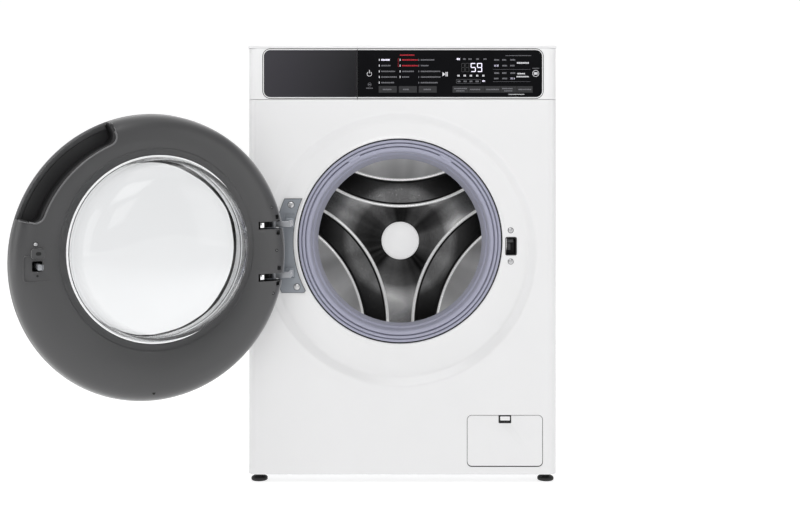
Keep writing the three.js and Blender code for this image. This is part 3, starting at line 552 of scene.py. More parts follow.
panel = piece("frontPanel", frontPanel, "cabinet", enamel, ["front_panel"], smooth=28)
weighNormals(panel)


def lidTop(bm):
    made = box(bm, -299.5, 299.5, 0, 475, 845.4, 850)
    edges = [e for e in {e for v in made for e in v.link_edges} if all(v.co.z > at(0, 0,
        849).z for v in e.verts)]
    bmesh.ops.bevel(bm, geom=edges, offset=0.002, offset_type="OFFSET", affect="EDGES", segments=4,
                    profile=0.5,
                    material=-1)
    for x0, x1, d0, d1 in ((-299.5, -296.5, 35, 475), (296.5, 299.5, 35, 475), (-296.5, 296.5, 472, 475)):
        box(bm, x0, x1, d0, d1, 826, 845.4)


piece("lid", lidTop, "cabinet", enamel, ["top_panel"], smooth=35)


def sidePanel(sign):
    def build(bm):
        box(bm, sign * 298.5 if sign > 0 else -300, 300 if sign > 0 else -298.5, 34.5, 475, 18, 825.6)
        outer = [f for f in bm.faces if f.normal.x * sign > 0.9]
        bmesh.ops.inset_region(bm, faces=outer, thickness=0.055, depth=0)
        bmesh.ops.inset_region(bm, faces=outer, thickness=0.007, depth=-0.0012)
        bmesh.ops.inset_region(bm, faces=outer, thickness=0.03, depth=0)
        bmesh.ops.inset_region(bm, faces=outer, thickness=0.005, depth=0.0008)
    return build


for side, sign in (("left", -1), ("right", 1)):
    wall = piece(side + "Side", sidePanel(sign), "cabinet", enamel, [side + "_side_panel"],
                 smooth=25)
    weighNormals(wall)

foot = {"profile": [(0, 0), (14.6, 0), (15.6, 0.6), (16, 1.8), (16, 4.8), (15, 6.4), (12.4, 7.6), (8.6, 8),
                    (8.4, 9),
                    (8.4, 15), (5, 15.2), (5, 40), (0, 40)]}
for end, depth in (("front", 32), ("rear", 443)):
    for side, x in (("left", -281), ("right", 281)):
        def footShape(bm):
            upright(bm, foot["profile"], x, depth)
            nut = bmesh.ops.create_cone(bm, cap_ends=True, segments=6, radius1=0.011, radius2=0.011,
                                        depth=0.004)
            bmesh.ops.translate(bm, verts=nut["verts"], vec=at(x, depth, 13))
        piece(end + side.capitalize() + "Foot", footShape, "cabinet", blackRubber,
              [f"{end}_{side}_foot"], smooth=35)
print("cabinet is built")


# Screws
def screw(name, x, height, depth, radius, body, metal=screwSteel, after=None, behind=False):
    # a pan head with a cross recess
    turn = -1 if behind else 1

    def build(bm):
        lathe(bm, [(0, depth - 1.7 * turn), (radius * 0.5, depth - 1.6 * turn), (radius * 0.85,
            depth - 1.1 * turn),
                   (radius, depth - 0.3 * turn), (radius, depth), (0, depth)], x, height, 32)
    head = piece(name, build, body, metal, smooth=50)
    slotA = cutter(lambda bm: box(bm, x - radius * 0.62, x + radius * 0.62, depth - 2.5 * turn,
                                  depth - 0.7 * turn,
                                  height - radius * 0.14, height + radius * 0.14))
    slotB = cutter(lambda bm: box(bm, x - radius * 0.14, x + radius * 0.14, depth - 2.5 * turn,
                                  depth - 0.7 * turn,
                                  height - radius * 0.62, height + radius * 0.62))
    carve(head, [slotA, slotB])
    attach(head, body)
    low, high = sorted((depth - 0.25 * turn, depth + 0.1 * turn))
    # painted shadow: a black ring just larger than the head, where the head meets the surface
    piece(name + "ShadowRing", lambda bm: disc(bm, x, height, radius + 0.7, low, high, 32), body, paintedShadowBlack,
          smooth=40, after=after)
    if after:
        turnMesh(head, after)
    return head


screw("lockScrewUpper", 211, 491, 12, 5, "cabinet")
screw("lockScrewLower", 211, 430, 12, 5, "cabinet")

# Door lock
def lockBody(bm):
    box(bm, 198.8, 231, 14, 56, lock["z"] - 30, lock["z"] + 30, 1.0)


def lockFace(bm):
    roundedPlate(bm, lock["x"] - lock["halfWidth"] + 0.4, lock["x"] + lock["halfWidth"] - 0.4,
                 lock["z"] - lock["halfHeight"] + 0.4, lock["z"] + lock["halfHeight"] - 0.4, 2.6, 11, 15)


catch = piece("doorLock", lockBody, "cabinet", cupBlack, ["door_lock"], smooth=35)
carve(catch, [cutter(lockFace)], "UNION")
carve(catch, [cutter(lambda bm: roundedPlate(
    bm, lock["x"] - lock["halfWidth"] + 2.2, lock["x"] + lock["halfWidth"] - 2.2,
    lock["z"] - lock["halfHeight"] + 2.2,
    lock["z"] + lock["halfHeight"] - 2.2, 2, 8, 44))])
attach(catch, "cabinet")
softenEdges(catch, 0.5, 2)


def lockLever(bm):
    box(bm, lock["x"] - 6, lock["x"] + 1, 32, 40, lock["z"] - 9, lock["z"] + 4, 1.0)
    box(bm, lock["x"] - 6, lock["x"] + 6, 28, 42, lock["z"] + 6, lock["z"] + 13, 1.0)


piece("lockLever", lockLever, "cabinet", greyPlastic, smooth=35)

# Drain hatch
def hatchFlap(bm):
    roundedPlate(bm, hatch["left"] + 1, hatch["right"] - 1, hatch["bottom"] + 2, hatch["top"] - 1, 8.4, 0,
                 2.2)


flap = piece("hatchFlap", hatchFlap, "hatch", enamel, ["hatch_flap"], smooth=35)
carve(flap, [cutter(lambda bm: roundedPlate(bm, 186.4, 211, 117.3, 140, [2, 2, 0, 0], -2, 5))])
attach(flap, "hatch")
softenEdges(flap, 0.6, 3)


def latchFrame(bm):
    roundedPlate(bm, 186.8, 210.6, 117.7, 132.2, [1.6, 1.6, 0.4, 0.4], 0.35, 2.6)


# painted shade: a black lining inside the latch's recess
piece("latchRecessShadow", latchFrame, "hatch", paintedShadowBlack, smooth=35)


def latchTab(bm):
    roundedPlate(bm, 189.6, 208.4, 122.8, 130.6, 1.2, -0.02, 3.2)
    box(bm, 191, 206.5, 2.6, 6, 122.3, 131, 0.8)


tab = piece("latchTab", latchTab, "hatch", whitePlastic, ["hatch_latch"], smooth=35)
softenEdges(tab, 0.5, 3)


gap = [hatch["left"], hatch["right"], hatch["bottom"], hatch["top"]]
# painted shadow: a black ring behind the gap round the hatch, so the gap reads dark
gapShadow = piece("hatchGapShadow", lambda bm: roundedPlate(bm, *gap, hatch["corner"], 1.6, 3), "cabinet", paintedShadowBlack,
              smooth=30)
carve(gapShadow, [cutter(lambda bm: roundedPlate(bm, gap[0] + 1.3, gap[1] - 1.3, gap[2] + 1.4, gap[3] - 1.3,
                                             hatch["corner"] - 1.3, 0, 6))])
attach(gapShadow, "cabinet")


def hatchHinges(bm):
    for x in (148.7, 240.7):
        made = bmesh.ops.create_cone(bm, cap_ends=True, segments=24, radius1=0.0022, radius2=0.0022,
                                     depth=0.008)
        bmesh.ops.rotate(bm, verts=made["verts"], cent=(0, 0, 0), matrix=Matrix.Rotation(math.pi / 2, 3, "Y"))
        bmesh.ops.translate(bm, verts=made["verts"], vec=at(x + 4, 2.5, 41.2))


piece("hatchHinges", hatchHinges, "hatch", whitePlastic, smooth=50)
print("front fittings are built")

# Control fascia
fascia = {"bottom": 745.8, "top": 845, "split": -88, "glassTop": 841.5, "glassBottom": 750, "glassRight": 271,
          "glassLeft": -269, "corner": 12.5, "rim": 1.7, "groove": 1.3}


def fasciaShell(x0, x1, roundSide):
    def build(bm):
        box(bm, x0, x1, 0, 34, fascia["bottom"], fascia["top"])
        side = x1 if roundSide > 0 else x0
        edges = [e for e in bm.edges if all(abs(v.co.x - side / 1000) < 1e-5 and v.co.y < frontY + 1e-5 for v in e.verts)]
        bmesh.ops.bevel(bm, geom=edges, offset=0.018, offset_type="OFFSET", affect="EDGES", segments=10,
                        profile=0.5,
                        material=-1)
    return build


rightShell = piece("controlFascia", fasciaShell(fascia["split"] + 1, 299.5, 1), "cabinet", whitePlastic,
                   ["control_fascia"], smooth=28)
leftShell = piece("drawerFront", fasciaShell(-299.5, fascia["split"], -1), "drawer", whitePlastic,
                  ["drawer_front"], smooth=28)
def fasciaOutline(bm, x0, x1, radii, grow, d0, d1, spill=0.0):
    # the glass's outline made larger; a side with square corners only grows by its own amount
    corners = [r * (fascia["corner"] + grow) for r in radii]
    return roundedPlate(bm, x0 - (grow if radii[0] else spill), x1 + (grow if radii[1] else spill),
                        fascia["glassBottom"] - grow, fascia["glassTop"] + grow, corners, d0, d1, 12)


for shell, name, x0, x1, radii, bodyName in (
        (rightShell, "glass", fascia["split"] + 1.1, fascia["glassRight"], [0, 1, 1, 0], "cabinet"),
        (leftShell, "inlay", fascia["glassLeft"], fascia["split"] - 0.1, [1, 0, 0, 1], "drawer")):
    carve(shell, [
        cutter(lambda bm: fasciaOutline(bm, x0, x1, radii, fascia["rim"] + fascia["groove"], -2, 1.6, 2)),
        cutter(lambda bm: box(bm, (x0 if radii[0] else -84), (x1 if radii[1] else -96), 6, 36, 749, 841)),
    ])
    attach(shell, bodyName)
    softenEdges(shell, 0.5, 3)
    weighNormals(shell)
    rimPlate = piece(name + "Rim", lambda bm: fasciaOutline(bm, x0, x1, radii, fascia["rim"], 0, 1.9, 0),
                     bodyName,
                     whitePlastic, smooth=35)
    softenEdges(rimPlate, 0.4, 3)
    # painted shade: a black strip at the bottom of the groove round the glass
    piece(name + "GrooveShadow", lambda bm: fasciaOutline(bm, x0, x1, radii,
                                                    fascia["rim"] + fascia["groove"] - 0.03, 1.4, 1.8,
                                                    0), bodyName, paintedShadowBlack, smooth=35)


def glassPlate(x0, x1, radii):
    corners = [r * fascia["corner"] for r in radii]
    return lambda bm: roundedPlate(bm, x0, x1, fascia["glassBottom"], fascia["glassTop"], corners, -0.3, 2.2,
                                   12)


glass = piece("controlGlassPlate", glassPlate(fascia["split"] + 1.1, fascia["glassRight"], [0, 1, 1, 0]),
              "cabinet",
              glassBlack, ["control_glass"], smooth=35)
inlay = piece("drawerInlayPlate", glassPlate(fascia["glassLeft"], fascia["split"] - 0.1, [1, 0, 0, 1]),
              "drawer",
              inlayPaintedReflection, ["drawer_inlay"], smooth=35)
softenEdges(glass, 0.35, 2)
softenEdges(inlay, 0.35, 2)


# Marks on the glass
marks = {"face": -0.3, "proud": 0.12, "rows": [822.3, 811.1, 800, 789.1, 778.1], "columns": [-45, -4.6, 31.6],
         "gridRows": [822.3, 811.1, 796.7, 786.2], "gridColumns": [182.5, 198, 213.6]}


def flatBar(bm, x0, x1, h0, h1, corner=0.0):
    roundedPlate(bm, x0, x1, h0, h1, min(corner, (h1 - h0) / 2 - 0.01), marks["face"] - marks["proud"],
                 marks["face"] - 0.005, 4)


def outlineBar(bm, x0, x1, h0, h1, line=0.35):
    flatBar(bm, x0, x1, h0, h0 + line)
    flatBar(bm, x0, x1, h1 - line, h1)
    flatBar(bm, x0, x0 + line, h0 + line, h1 - line)
    flatBar(bm, x1 - line, x1, h0 + line, h1 - line)


def wordMark(bm, x, h, length, size=2.6, seed=0):
    # small blocks of different widths that stand for lettering
    i = 0
    end = x + length
    while x < end - 0.5:
        width = (1.2, 1.7, 0.9, 1.5, 1.1, 1.8)[(i + seed) % 6] * size / 2.6
        lift = (0, 0, 0.45, 0, -0.35, 0)[(i * 5 + seed) % 6] * size / 2.6
        flatBar(bm, x, min(x + width, end), h - size / 2, h + size / 2 + min(lift, 0))
        x += width + 0.55
        i += 1


def ringMark(bm, x, h, r, line):
    lathe(bm, [(r, marks["face"] - 0.005), (r, marks["face"] - marks["proud"]),
               (r - line, marks["face"] - marks["proud"]), (r - line, marks["face"] - 0.005)], x, h, 40,
               closed=True)


def arrowMark(bm, x, h, size):
    depth = marks["face"] - marks["proud"]
    face = bm.faces.new([bm.verts.new(at(x, depth, h - size)), bm.verts.new(at(x + size * 1.3, depth, h)),
                         bm.verts.new(at(x, depth, h + size))])
    top = bmesh.ops.extrude_face_region(bm, geom=[face])["geom"]
    bmesh.ops.translate(bm, verts=[g for g in top if isinstance(g, bmesh.types.BMVert)], vec=(0, 0.0001, 0))


def digit(bm, x, h, value, width=10.5, height=18.6, line=1.7):
    half = height / 2
    bars = {"a": (x + line * 0.7, x + width - line * 0.7, h + height - line, h + height),
            "g": (x + line * 0.7, x + width - line * 0.7, h + half - line / 2, h + half + line / 2),
            "d": (x + line * 0.7, x + width - line * 0.7, h, h + line),
            "f": (x, x + line, h + half + 0.4, h + height - 0.5), "b": (x + width - line, x + width,
                h + half + 0.4,
                                                                       h + height - 0.5),
            "e": (x, x + line, h + 0.5, h + half - 0.4), "c": (x + width - line, x + width, h + 0.5,
                                                               h + half - 0.4)}
    for key in {"5": "afgcd", "9": "abfgcd", "1": "bc", "8": "abcdefg"}[value]:
        flatBar(bm, *bars[key], corner=0.5)


def brightMarks(bm):
    arrowMark(bm, 77.6, 794.6, 4.2)
    flatBar(bm, 83.6, 85.2, 790.4, 798.8)
    flatBar(bm, 86.2, 87.8, 790.4, 798.8)
    flatBar(bm, -64.8, -63.6, 796.4, 802.6)
    for x in (108.8, 120.9, 132.9, 145.3, 157.3):
        wordMark(bm, x - 2.4, 791.7, 5, 3.4, int(x))
    for x in marks["columns"][:2]:
        for h in marks["rows"]:
            if x < -40 or h > 785:
                flatBar(bm, x - 0.7, x + 0.7, h - 2, h + 2)
    wordMark(bm, 222, 816.4, 24, 3, 1)
    wordMark(bm, 223, 795.6, 15, 2.6, 2)
    wordMark(bm, 221, 789.8, 24, 2.6, 4)
    wordMark(bm, 206, 755.4, 31, 1.6, 3)
    ringMark(bm, 258.5, 796, 6.4, 0.8)
    wordMark(bm, 255, 796, 7, 5, 2)


def greyMarks(bm):
    for x, first, lengths in ((-45, 1, (20, 18, 27, 31, 25)), (-4.6, 2, (0, 0, 23, 14, 0)), (31.6, 0, (26, 15,
        38, 38, 33))):
        for row in range(first, 5):
            wordMark(bm, x + 4, marks["rows"][row], lengths[row], 2.6, row + int(x))
    for h in marks["rows"]:
        flatBar(bm, marks["columns"][2] - 0.6, marks["columns"][2] + 0.6, h - 1.8, h + 1.8)
    for i, x in enumerate(marks["gridColumns"]):
        for j, h in enumerate(marks["gridRows"]):
            wordMark(bm, x - 4.6, h, 9.6 - (i + j) % 2 * 1.4, 3, i + j)
    for h in (803.7, 780):
        flatBar(bm, 175.6, 248, h, h + 0.35)
    for i, x in enumerate((-38, 1, 41)):
        wordMark(bm, x, 765, (17, 12, 14)[i], 2.6, i)
    for i in range(5):
        x = 97 + 31.16 * i
        wordMark(bm, x + 3, 766.6 if i % 3 == 0 else 765, 25 - i % 2 * 5, 2.4, i)
        if i % 3 == 0:
            wordMark(bm, x + 7, 762.2, 16, 2.2, i + 2)
    outlineBar(bm, 104.2, 152, 776.8, 784.6)
    for i in range(4):
        wordMark(bm, 107 + 11.6 * i, 780.7, 6, 3, i)
    for x in (120.5, 131, 146, 160):
        wordMark(bm, x - 3, 823.9, 6, 3, int(x))
    ringMark(bm, -63.6, 774.6, 3.6, 0.5)
    wordMark(bm, -66, 774.6, 4.6, 2, 1)
    wordMark(bm, -70, 767.4, 13, 2, 3)
    wordMark(bm, 200, 830.6, 50, 1.6, 2)
    wordMark(bm, 252, 806, 13, 1.6, 2)


def redMarks(bm):
    wordMark(bm, -4.8, 831.6, 28, 2.4, 1)
    for row in (0, 1):
        wordMark(bm, -0.6, marks["rows"][row], 31, 2.6, row)
    flatBar(bm, -8.6, -8.1, 809, 825)
    flatBar(bm, -8.6, -6.6, 824.6, 825)
    flatBar(bm, -8.6, -6.6, 809, 809.4)


def keyPlates(bm):
    for x0, x1 in ((-46.2, -11), (-7, 27.9), (31.6, 66.3)):
        flatBar(bm, x0, x1, 758.8, 771.4)
    for i in range(5):
        flatBar(bm, 97.2 + 31.16 * i, 97.2 + 31.16 * (i + 1) - 0.5, 758.8, 771.4)


def ghostDigits(bm):
    digit(bm, 114.4, 798.8, "8", 6.2, 17.4, 0.9)
    digit(bm, 122, 798.8, "8", 7.4, 17.4, 0.9)


def glowMarks(bm):
    digit(bm, 132.2, 798.8, "5", 10, 17.4)
    digit(bm, 144.6, 798.8, "9", 10, 17.4)
    wordMark(bm, marks["columns"][0] + 4, marks["rows"][0], 17, 3, 1)
    wordMark(bm, 105.4, 823.9, 6, 3.6, 1)
    wordMark(bm, marks["gridColumns"][0] - 4.6, marks["gridRows"][1], 9, 3.2, 2)
    wordMark(bm, marks["gridColumns"][2] - 4.6, marks["gridRows"][3], 9, 3.2, 3)
    wordMark(bm, 155, 781.2, 5, 3, 1)


marks["face"] -= 0.02
piece("keyPlates", keyPlates, "cabinet", keyGrey, smooth=0)
marks["face"] -= 0.12
piece("printedMarks", brightMarks, "cabinet", markWhite, smooth=0)
piece("faintMarks", greyMarks, "cabinet", markGrey, smooth=0)
piece("warmMarks", redMarks, "cabinet", markRed, smooth=0)
piece("ghostDigits", ghostDigits, "cabinet", ghostGrey, smooth=0)
piece("litDigits", glowMarks, "cabinet", ledGlow, smooth=0)
fit(bead("powerRing", arc(-64.2, 795, 4.4, 125, 415, 28, marks["face"] - 0.1), 0.5), "cabinet", markWhite,
    smooth=60)
print("controls are built")

# Gasket
gasket = {"profile": [(197.2, 24), (197.6, 15), (197.3, 12.4), (196.6, 10.6), (195.2, 9.4), (193.6, 9.2),
                      (192.5, 10.2),
                      (192, 12), (191.7, 18.4), (190.8, 18.4), (190.6, 11.6), (189.6, 9.6), (187.6, 8.8),
                      (186, 9.4),
                      (185, 11), (184.7, 19), (183.6, 19), (183.3, 12), (181.6, 10.4), (178.8, 10.6),
                      (176.2, 12), (174.6, 14.8), (173.8, 19), (173.6, 24), (172.6, 26.6), (172.2, 30),
                      (174.4, 32),
                      (174.2, 34.5), (170.6, 36), (168.8, 40), (167, 60), (165.2, 76), (163.9, 79.6), (164.2,
                          83),
                      (166.2, 85.2), (169, 85.6), (173.4, 85), (177, 62), (183, 58), (196, 58), (196, 52),
                      (184, 50),
                      (180, 44), (190, 39), (197.6, 35), (198.4, 31), (197, 27)]}


def followTub(bm):
    # the seal's front lies in the panel, and its back leans with the tub
    for v in bm.verts:
        depth = (v.co.y - frontY) * 1000
        t = min(max((depth - body["lipEnd"]) / (50 - body["lipEnd"]), 0), 1)
        turn = Matrix.Rotation(drumTilt * t * t * (3 - 2 * t), 3, "X")
        pivot = at(portX, 35, portZ)
        v.co = pivot + turn @ (v.co - pivot)


def sealShape(bm):
    lathe(bm, gasket["profile"], steps=160, closed=True)


seal = piece("doorSeal", sealShape, None, sealRubber, ["gasket"], smooth=70, after=followTub)
# done by 36 mm, because the leaning counterweight comes that far forward at the bottom
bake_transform(seal)


def sealNozzles(bm):
    for angle in (61, 119):
        a = math.radians(angle)
        x, z = portX + 183 * math.cos(a), portZ + 183 * math.sin(a)
        made = bmesh.ops.create_uvsphere(bm, u_segments=24, v_segments=12, radius=0.0072)["verts"]
        bmesh.ops.scale(bm, verts=made, vec=(1.9, 0.6, 0.62))
        bmesh.ops.rotate(bm, verts=made, cent=(0, 0, 0), matrix=Matrix.Rotation(-(a - math.pi / 2), 3, "Y"))
        bmesh.ops.translate(bm, verts=made, vec=at(x, 11.5, z))


piece("sealNozzles", sealNozzles, "cabinet", sealRubber, smooth=70)


# painted shadow: a black ring in the gap at the seal's outer edge
piece("sealGapShadow", lambda bm: lathe(bm, [(197.4, 15), (202, 15), (202, 17), (197.4, 17)], steps=128,
                                  closed=True),
      "cabinet", paintedShadowBlack, smooth=40)


# Springs and hoses
inside = {"springs": (-175, 165), "springDepth": 346, "springTop": 805.8, "springFoot": 699.4, "turns": 9,
          "coil": 11,
          "springWire": 1.7, "sumpHose": 17, "fillHose": 12}


def coilLine(x):
    steps = inside["turns"] * 20
    rise = (inside["springTop"] - inside["springFoot"] - 12) / steps
    line = [at(x, inside["springDepth"], inside["springFoot"]), at(x + 3, inside["springDepth"],
                                                                   inside["springFoot"] + 3)]
    for i in range(steps + 1):
        a = math.tau * i / 20
        line.append(at(x + inside["coil"] * math.cos(a), inside["springDepth"] + inside["coil"] * math.sin(a),
                       inside["springFoot"] + 6 + rise * i))
    line.append(at(x + 3, inside["springDepth"], inside["springTop"] - 3))
    line.append(at(x, inside["springDepth"], inside["springTop"]))
    return line


for side, x in zip(("left", "right"), inside["springs"]):
    spring = fit(bead(side + "Spring", coilLine(x), inside["springWire"]), None, zinc,
                 ["spring_" + side], smooth=60)
    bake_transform(spring)


def hoseLine(points, count=28):
    # a smooth line through the hose's own points
    line = []
    for i in range(count + 1):
        t = i / count * (len(points) - 1)
        k = min(int(t), len(points) - 2)
        t -= k
        a, b, c, d = (Vector(points[min(max(k + n, 0), len(points) - 1)]) for n in (-1, 0, 1, 2))
        line.append(0.5 * (2 * b + (c - a) * t + (2 * a - 5 * b + 4 * c - d) * t * t + (3 * b - a - 3 * c + d) * t ** 3))
    return line


sump = [at(portX + 62, 110, 178.5), at(portX + 66, 108, 170), at(portX + 100, 92, 158), at(150, 76, 160),
        at(177, 72, 151), at(180, 72, 137)]
hose = fit(bead("sumpHose", hoseLine(sump), inside["sumpHose"]), None, blackRubber,
           ["sump_hose"], smooth=60)
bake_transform(hose)
supply = [at(-135, 282, 735), at(-135, 282, 727), at(-131, 285, 708), at(-130, 285.5, 701.5)]
hose = fit(bead("dispenserHose", hoseLine(supply), inside["fillHose"]), None, blackRubber,
           ["dispenser_hose"], smooth=60)
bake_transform(hose)
print("springs and hoses are built")

# Drum
drum = {"innerArc": (79, 290), "outerArc": (133, 285)}


def drumWall(bm):
    lathe(bm, [(174, 97), (174.4, 94), (176, 92.2), (179, 91.2), (182, 91), (185.4, 93.2), (187, 96.5), (200,
        99.5),
               (230, 102.5), (236, 105.5), (239, 111), (239, 356), (237, 356), (237, 112), (234.6, 107.6),
               (229, 104.5),
               (200, 101.6), (186, 98.5), (184, 95.4), (181.6, 93.4), (179, 93.3), (177.5, 94), (176.5,
                   97.5)],
          steps=160, closed=True)
    layer = bm.loops.layers.uv.new("wall")
    centre = at(portX, 0, portZ)
    for face in bm.faces:
        angles = [math.atan2(l.vert.co.z - centre.z, l.vert.co.x - centre.x) / math.tau for l in face.loops]
        wrap = max(angles) - min(angles) > 0.5
        for loop, a in zip(face.loops, angles):
            loop[layer].uv = (a + (1 if wrap and a < 0 else 0), (loop.vert.co.y - centre.y) * 4)


piece("drumWall", drumWall, "drum", wallSteel, ["drum_shell"], smooth=50, after=turnDrum)


def bowedCutter(reach, radius, d0, d1):
    cutters = []
    for i in range(3):
        a = math.radians(90 + 120 * i)
        x = portX + (reach + radius) * math.cos(a)
        z = portZ + (reach + radius) * math.sin(a)
        cutters.append(cutter(lambda bm: disc(bm, x, z, radius, d0, d1, 256)))
    return cutters


star = piece("drumStar", lambda bm: disc(bm, portX, portZ, 236, 342, 350, 192), "drum", starFinish,
             ["drum_back"], smooth=30)
carve(star, bowedCutter(*drum["innerArc"], 330, 360))
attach(star, "drum")
turnMesh(star, turnDrum)


def ridgeLine(name, reach, radius, turn, depth, thickness, metal, limit=234):
    # a bead along the part of an arc that lies on the drum's back; in the glowing ridge finish it is a painted
    # highlight, in the black finish a painted shadow in the crease
    a = math.radians(90 + 120 * turn)
    cx, cz = portX + (reach + radius) * math.cos(a), portZ + (reach + radius) * math.sin(a)
    span = math.degrees(math.acos(((reach + radius) ** 2 + radius ** 2 - limit ** 2) / (2 * (reach + radius) * radius)))
    facing = math.degrees(a) + 180
    obj = fit(bead(name, arc(cx, cz, radius, facing - span, facing + span, 64, depth), thickness), "drum",
              metal,
              smooth=80)
    turnMesh(obj, turnDrum)


for i in range(3):
    a = math.radians(90 + 120 * i)
    reach, radius = drum["outerArc"]
    segment = piece(f"drumSegment{i + 1}", lambda bm: disc(bm, portX, portZ, 236, 343, 350, 192), "drum",
                    segmentSteel,
                    smooth=30)
    lens = cutter(lambda bm: disc(bm, portX + (reach + radius) * math.cos(a),
                                  portZ + (reach + radius) * math.sin(a),
                                  radius, 330, 360, 256))
    carve(segment, [lens], "INTERSECT")
    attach(segment, "drum")
    turnMesh(segment, turnDrum)
    # the ridges carry painted highlights and the creases painted shadows
    ridgeLine(f"starRidgeHighlight{i + 1}", drum["innerArc"][0] - 2.2, drum["innerArc"][1], i, 341.2, 3.4, paintedRidgeHighlight)
    ridgeLine(f"starCreaseShadow{i + 1}", drum["innerArc"][0] + 3.2, drum["innerArc"][1], i, 348.6, 2.2, paintedShadowBlack)
    ridgeLine(f"segmentRidgeHighlight{i + 1}", reach + 2.4, radius, i, 342, 3.0, paintedRidgeHighlight)
    ridgeLine(f"segmentCreaseShadow{i + 1}", reach - 3, radius, i, 348.6, 2.2, paintedShadowBlack)
piece("drumBackPlate", lambda bm: disc(bm, portX, portZ, 236, 350, 352, 128), "drum", bandSteel,
      smooth=30, after=turnDrum)
piece("drumCap", lambda bm: lathe(bm, [(0, 328), (16, 328.4), (29, 330.6), (37, 334), (41, 337.4), (41.6,
    341.6),
                                       (0, 341.6)], steps=96),
      "drum", capWhiteGlow, ["drum_cap"], smooth=60, after=turnDrum)


def lifterShape(angle):
    def build(bm):
        profile = [(-32, -233), (32, -233), (27, -224), (21, -212), (11, -192), (7, -190), (-7, -190), (-11,
            -192),
                   (-21, -212), (-27, -224)]
        face = bm.faces.new([bm.verts.new(at(portX + x, 122, portZ + z)) for x, z in profile])
        top = bmesh.ops.extrude_face_region(bm, geom=[face])["geom"]
        bmesh.ops.translate(bm, verts=[g for g in top if isinstance(g, bmesh.types.BMVert)], vec=(0, 0.219,
            0))
        bmesh.ops.rotate(bm, verts=bm.verts, cent=at(portX, 0, portZ),
                         matrix=Matrix.Rotation(math.radians(angle), 3, "Y"))
    return build


for i in range(3):
    lifter = piece(f"lifter{i + 1}", lifterShape(60 + 120 * i), "drum", whitePlastic,
                   [f"lifter_{i + 1}"], smooth=40, after=turnDrum)
    softenEdges(lifter, 2.5, 3)
print("drum is built")

# Door
door = {"grip": (219.6, 17, 70), "slots": (506, 409)}


def doorCover(bm):
    # flat ring around the glass, a shallow step, then the rounded rim
    lathe(bm, [(167.2, -26), (167.2, 0.4), (168.2, 1.2), (170, 1.5), (177.5, 1.5), (179, 2.2), (180, 3), (181,
        3.4)], steps=128)
    lathe(bm, [(214, 3.4), (222, 3.1), (229, 2.2), (236, 0.2), (242, -2.8), (247.4, -7), (251.6, -12.4),
               (254.4, -18),
               (256, -24), (256.4, -28.6), (254, -29.2), (252.6, -29.2)], z=recessZ, steps=128)
    inner = [e for e in bm.edges if e.is_boundary and all(
        abs((v.co - at(portX, v.co.y, portZ)).xz.length * 1000 - 181) < 0.2 for v in e.verts)]
    outer = [e for e in bm.edges if e.is_boundary and all(
        abs((v.co - at(portX, v.co.y, recessZ)).xz.length * 1000 - 214) < 0.2 for v in e.verts)]
    bmesh.ops.bridge_loops(bm, edges=inner + outer)


def gripOutline(bm, inset, d0, d1, outer):
    # the finger recess: a piece of the rim between two angles, with rounded inner corners
    r0, start, end = door["grip"]
    r0 += inset
    corner = 16 - inset
    turn = math.degrees(corner / r0)
    points = []
    for i in range(7):
        t = i / 6 * math.pi / 2
        a = start + inset / 4 + turn * (1 - math.sin(t))
        points.append((r0 + corner * (1 - math.cos(t)), a))
    low = list(reversed(points))
    high = [(r, start + end - a) for r, a in reversed(low)]
    outline = [(outer, start + inset / 4)] + low
    middle = [(r0, start + inset / 4 + turn + (end - start - inset / 2 - 2 * turn) * i / 24) for i in range(1,
        24)]
    outline += middle + high + [(outer, end - inset / 4)]
    outline += [(outer, end - inset / 4 - (end - start - inset / 2) * i / 24) for i in range(1, 24)]
    verts = [bm.verts.new(at(portX + r * math.cos(math.radians(a)), d0,
                             recessZ + r * math.sin(math.radians(a))))
             for r, a in outline]
    face = bm.faces.new(verts)
    top = bmesh.ops.extrude_face_region(bm, geom=[face])["geom"]
    bmesh.ops.translate(bm, verts=[g for g in top if isinstance(g, bmesh.types.BMVert)], vec=(0,
        (d1 - d0) / 1000, 0))
    return outline


cover = piece("doorCover", doorCover, "door", [coverGrey], ["door_inner_cover"], smooth=45)
shellMod = cover.modifiers.new("wall", "SOLIDIFY")
shellMod.thickness = 0.0024
shellMod.offset = -1
applyModifiers(cover)
armSlots = [cutter(lambda bm: roundedPlate(bm, -275, -195, z - 7.2, z + 7.2, 0, -45,
                                           12)) for z in door["slots"]]
pivotHoles = [cutter(lambda bm: box(bm, x - 4.4, x + 4.4, -26, 8, z - 4.2, z + 4.2))
              for x, z in ((-236, 521.4), (-237, 492), (-239, 425.6), (-237, 396.6))]
hookHole = cutter(lambda bm: roundedPlate(bm, 202.2, 219.8, 441.2, 458.8, 2.5, -8, 8))
carve(cover, [cutter(lambda bm: gripOutline(bm, 0, -60, 12, 275)), hookHole] + armSlots + pivotHoles)
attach(cover, "door")
turnMesh(cover, openDoor)
smoothBy(cover, 40)

cup = piece("doorGrip", lambda bm: gripOutline(bm, 0.3, -42, -39.6, 243), "door", cupBlack,
            ["door_grip"], smooth=45)


def gripWall(bm):
    # the recess's wall, a thin skirt that follows its outline
    outline = gripOutline(bm, 0.4, -41, 0.5, 252)
    ends = [f for f in bm.faces if abs(f.normal.y) > 0.9 or len(f.verts) > 4]
    outer = [f for f in bm.faces if f not in ends
             and min((v.co - at(portX, v.co.y, recessZ)).xz.length for v in f.verts) > 0.2515]
    bmesh.ops.delete(bm, geom=list(set(ends + outer)), context="FACES")


skirt = piece("gripWall", gripWall, "door", cupBlack, smooth=45)
skirtWall = skirt.modifiers.new("wall", "SOLIDIFY")
skirtWall.thickness = 0.0016
skirtWall.offset = 0
applyModifiers(skirt)
turnMesh(cup, openDoor)
turnMesh(skirt, openDoor)


